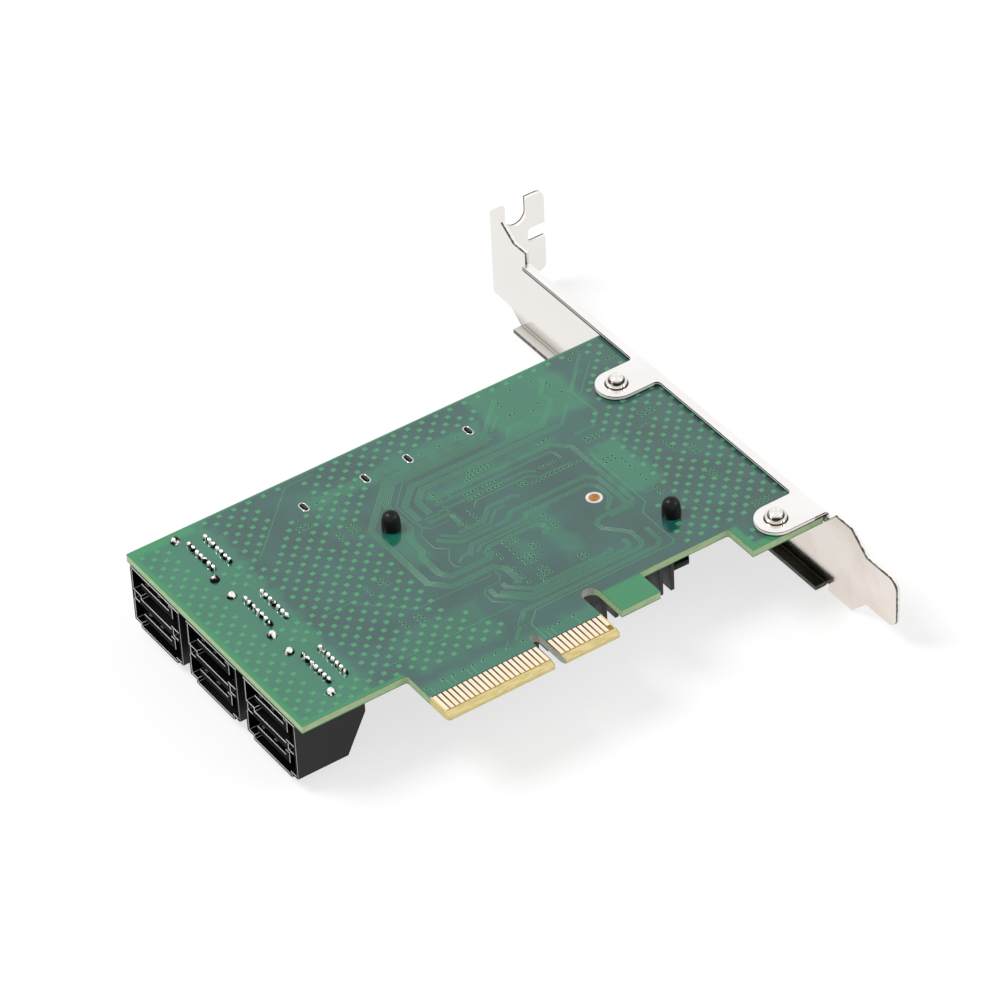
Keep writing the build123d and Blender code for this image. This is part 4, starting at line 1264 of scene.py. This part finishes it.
def push_pin_bodies():
    """Six-sided heads and round shafts that end in two springy half tips."""
    shaft = ((0, SHAFT_LOW), (SHAFT_R, SHAFT_LOW), (SHAFT_R, SHAFT_HIGH), (0, SHAFT_HIGH))
    tip = half_tip()
    bm = bmesh.new()
    for x, y in PIN_PLACES:
        turned(bm, shaft, x, y, 32)
        head = bmesh.ops.create_cone(
            bm, cap_ends=True, segments=6, radius1=HEAD_R * MM, radius2=HEAD_R * MM,
            depth=HEAD_T * MM,
            matrix=at(x, y, SPRING_LOW - HEAD_T / 2) @ Matrix.Rotation(PIN_TURN, 4, "Z"),
        )
        rims = {edge for v in head["verts"] for edge in v.link_edges}
        bmesh.ops.bevel(
            bm, geom=list(rims), offset=HEAD_ROUNDED * MM, segments=2, profile=0.5,
            affect="EDGES", material=-1,
        )
        for half in (0, math.pi):
            turn = Matrix.Rotation(PIN_TURN + math.pi / 2 + half, 4, "Z")
            repeated(bm, tip, [at(x, y, 0) @ turn])
    outwards(bm)
    finished(
        bm, "push_pin_bodies", "pin_plastic", "pin_nylon", replaces=("push_pins",), smooth=40
    )


def coil_springs():
    """Round wire springs, with their last turns closed up."""
    bm = bmesh.new()
    for x, y in PIN_PLACES:
        wire = bmesh.ops.create_circle(
            bm, cap_ends=True, segments=10, radius=WIRE_R * MM,
            matrix=at(x + SPRING_R, y, SPRING_LOW + WIRE_R + 0.01) @ UPRIGHT,
        )["verts"]
        geom = list(wire) + list({e for v in wire for e in v.link_edges})
        geom += list({f for v in wire for f in v.link_faces})
        for turns, rise in RUNS:
            steps = int(STEPS_A_TURN * turns)
            made = bmesh.ops.spin(
                bm, geom=geom, cent=Vector((x, y, 0)) * MM, axis=(0, 0, 1),
                dvec=(0, 0, rise * MM / steps), angle=2 * math.pi * turns, steps=steps,
            )
            geom = made["geom_last"]
    outwards(bm)
    finished(
        bm, "coil_springs", "spring_steel", "spring_wire", replaces=("push_pin_springs",),
        smooth=60,
    )


push_pin_bodies()
coil_springs()


# ---- stage

# Lengths of the stage are in metres, as are the places of the lamps and the camera
FLOOR_HALF = 3.0
FLOOR_GAP = 0.0001
# How much the floor glows for the camera and in mirrors, and the light of the surroundings
FLOOR_SHOWN, FLOOR_MIRRORED = 0.7, 0.9
AROUND_LIGHT, AROUND_SEEN = 0.55, 1.0
# Name, place, width and power of each lamp, and what they point at
LAMPS = (
    ("key_lamp", (-0.52, 0.42, 0.95), 0.5, 9.0),
    ("fill_lamp", (0.75, -0.75, 0.65), 0.8, 4.0),
)
LIT_POINT = (0.01, 0.045, 0)
# The camera: lens and sensor in millimetres, its place, and its own axes
LENS = 191.807
SENSOR = 36.0
CAMERA_PLACE = (-0.36270624, -0.54823445, 0.58008798)
CAMERA_AXES = (
    (0.8215184884, -0.5687038694, -0.0410278219),
    (0.3895464288, 0.5072594145, 0.7687271728),
    (-0.4163663688, -0.6475058265, 0.6382595488),
)


def floor():
    """Pale paper floor, which glows a little where it is seen."""
    bm = bmesh.new()
    bmesh.ops.create_grid(
        bm, x_segments=1, y_segments=1, size=FLOOR_HALF,
        matrix=Matrix.Translation((0, 0, cad_low.z - FLOOR_GAP)),
    )
    mesh = mesh_of(bm, "floor")
    paper = bpy.data.objects.new("floor", mesh)
    scene.collection.objects.link(paper)
    pale = Finish("floor_paper", Roughness=0.9, Specular_IOR_Level=0.1)
    grain = pale.noise(pale.place(), 0.02)
    pale.give(Base_Color=pale.mix(grain, srgb(246, 246, 246), srgb(250, 250, 250)))
    mirrored = pale.ray("Glossy").either(pale.ray("Transmission"))
    glows = (pale.ray("Camera") * FLOOR_SHOWN).either(mirrored * FLOOR_MIRRORED)
    white = pale.node("ShaderNodeEmission", {}, {"Color": (1, 1, 1, 1), "Strength": 1.0})
    shaded = Value(pale, pale.shader.outputs[0])
    blend = pale.node("ShaderNodeMixShader", {}, {0: glows, 1: shaded, 2: white})
    pale.feed(pale.tree.nodes["Material Output"].inputs["Surface"], blend)
    mesh.materials.append(pale.material)


def surroundings():
    """White surroundings, brighter to the eye and in mirrors than as a light."""
    world = bpy.data.worlds.new("surroundings")
    world.use_nodes = True
    scene.world = world
    around = Nodes(world.node_tree)
    background = around.tree.nodes["Background"]
    seen = around.ray("Camera").either(around.ray("Glossy")).either(around.ray("Transmission"))
    around.feed(background.inputs["Color"], (1, 1, 1, 1))
    around.feed(background.inputs["Strength"], seen.spread(AROUND_LIGHT, AROUND_SEEN))


def lamps():
    """Soft round lamps."""
    for name, place, width, power in LAMPS:
        lamp = bpy.data.lights.new(name, "AREA")
        lamp.shape = "DISK"
        lamp.size = width
        lamp.energy = power
        holder = bpy.data.objects.new(name, lamp)
        scene.collection.objects.link(holder)
        holder.location = place
        aim = Vector(LIT_POINT) - Vector(place)
        holder.rotation_euler = aim.to_track_quat("-Z", "Y").to_euler()


def photo_camera():
    """The photograph's viewing place and angle."""
    view = bpy.data.cameras.new("photo_camera")
    view.lens = LENS
    view.sensor_width = SENSOR
    view.clip_start = 0.05
    camera = bpy.data.objects.new("photo_camera", view)
    scene.collection.objects.link(camera)
    turn = Matrix(CAMERA_AXES).transposed().to_4x4()
    camera.matrix_world = Matrix.Translation(CAMERA_PLACE) @ turn
    scene.camera = camera


floor()
surroundings()
lamps()
photo_camera()
scene.view_settings.view_transform = "Standard"
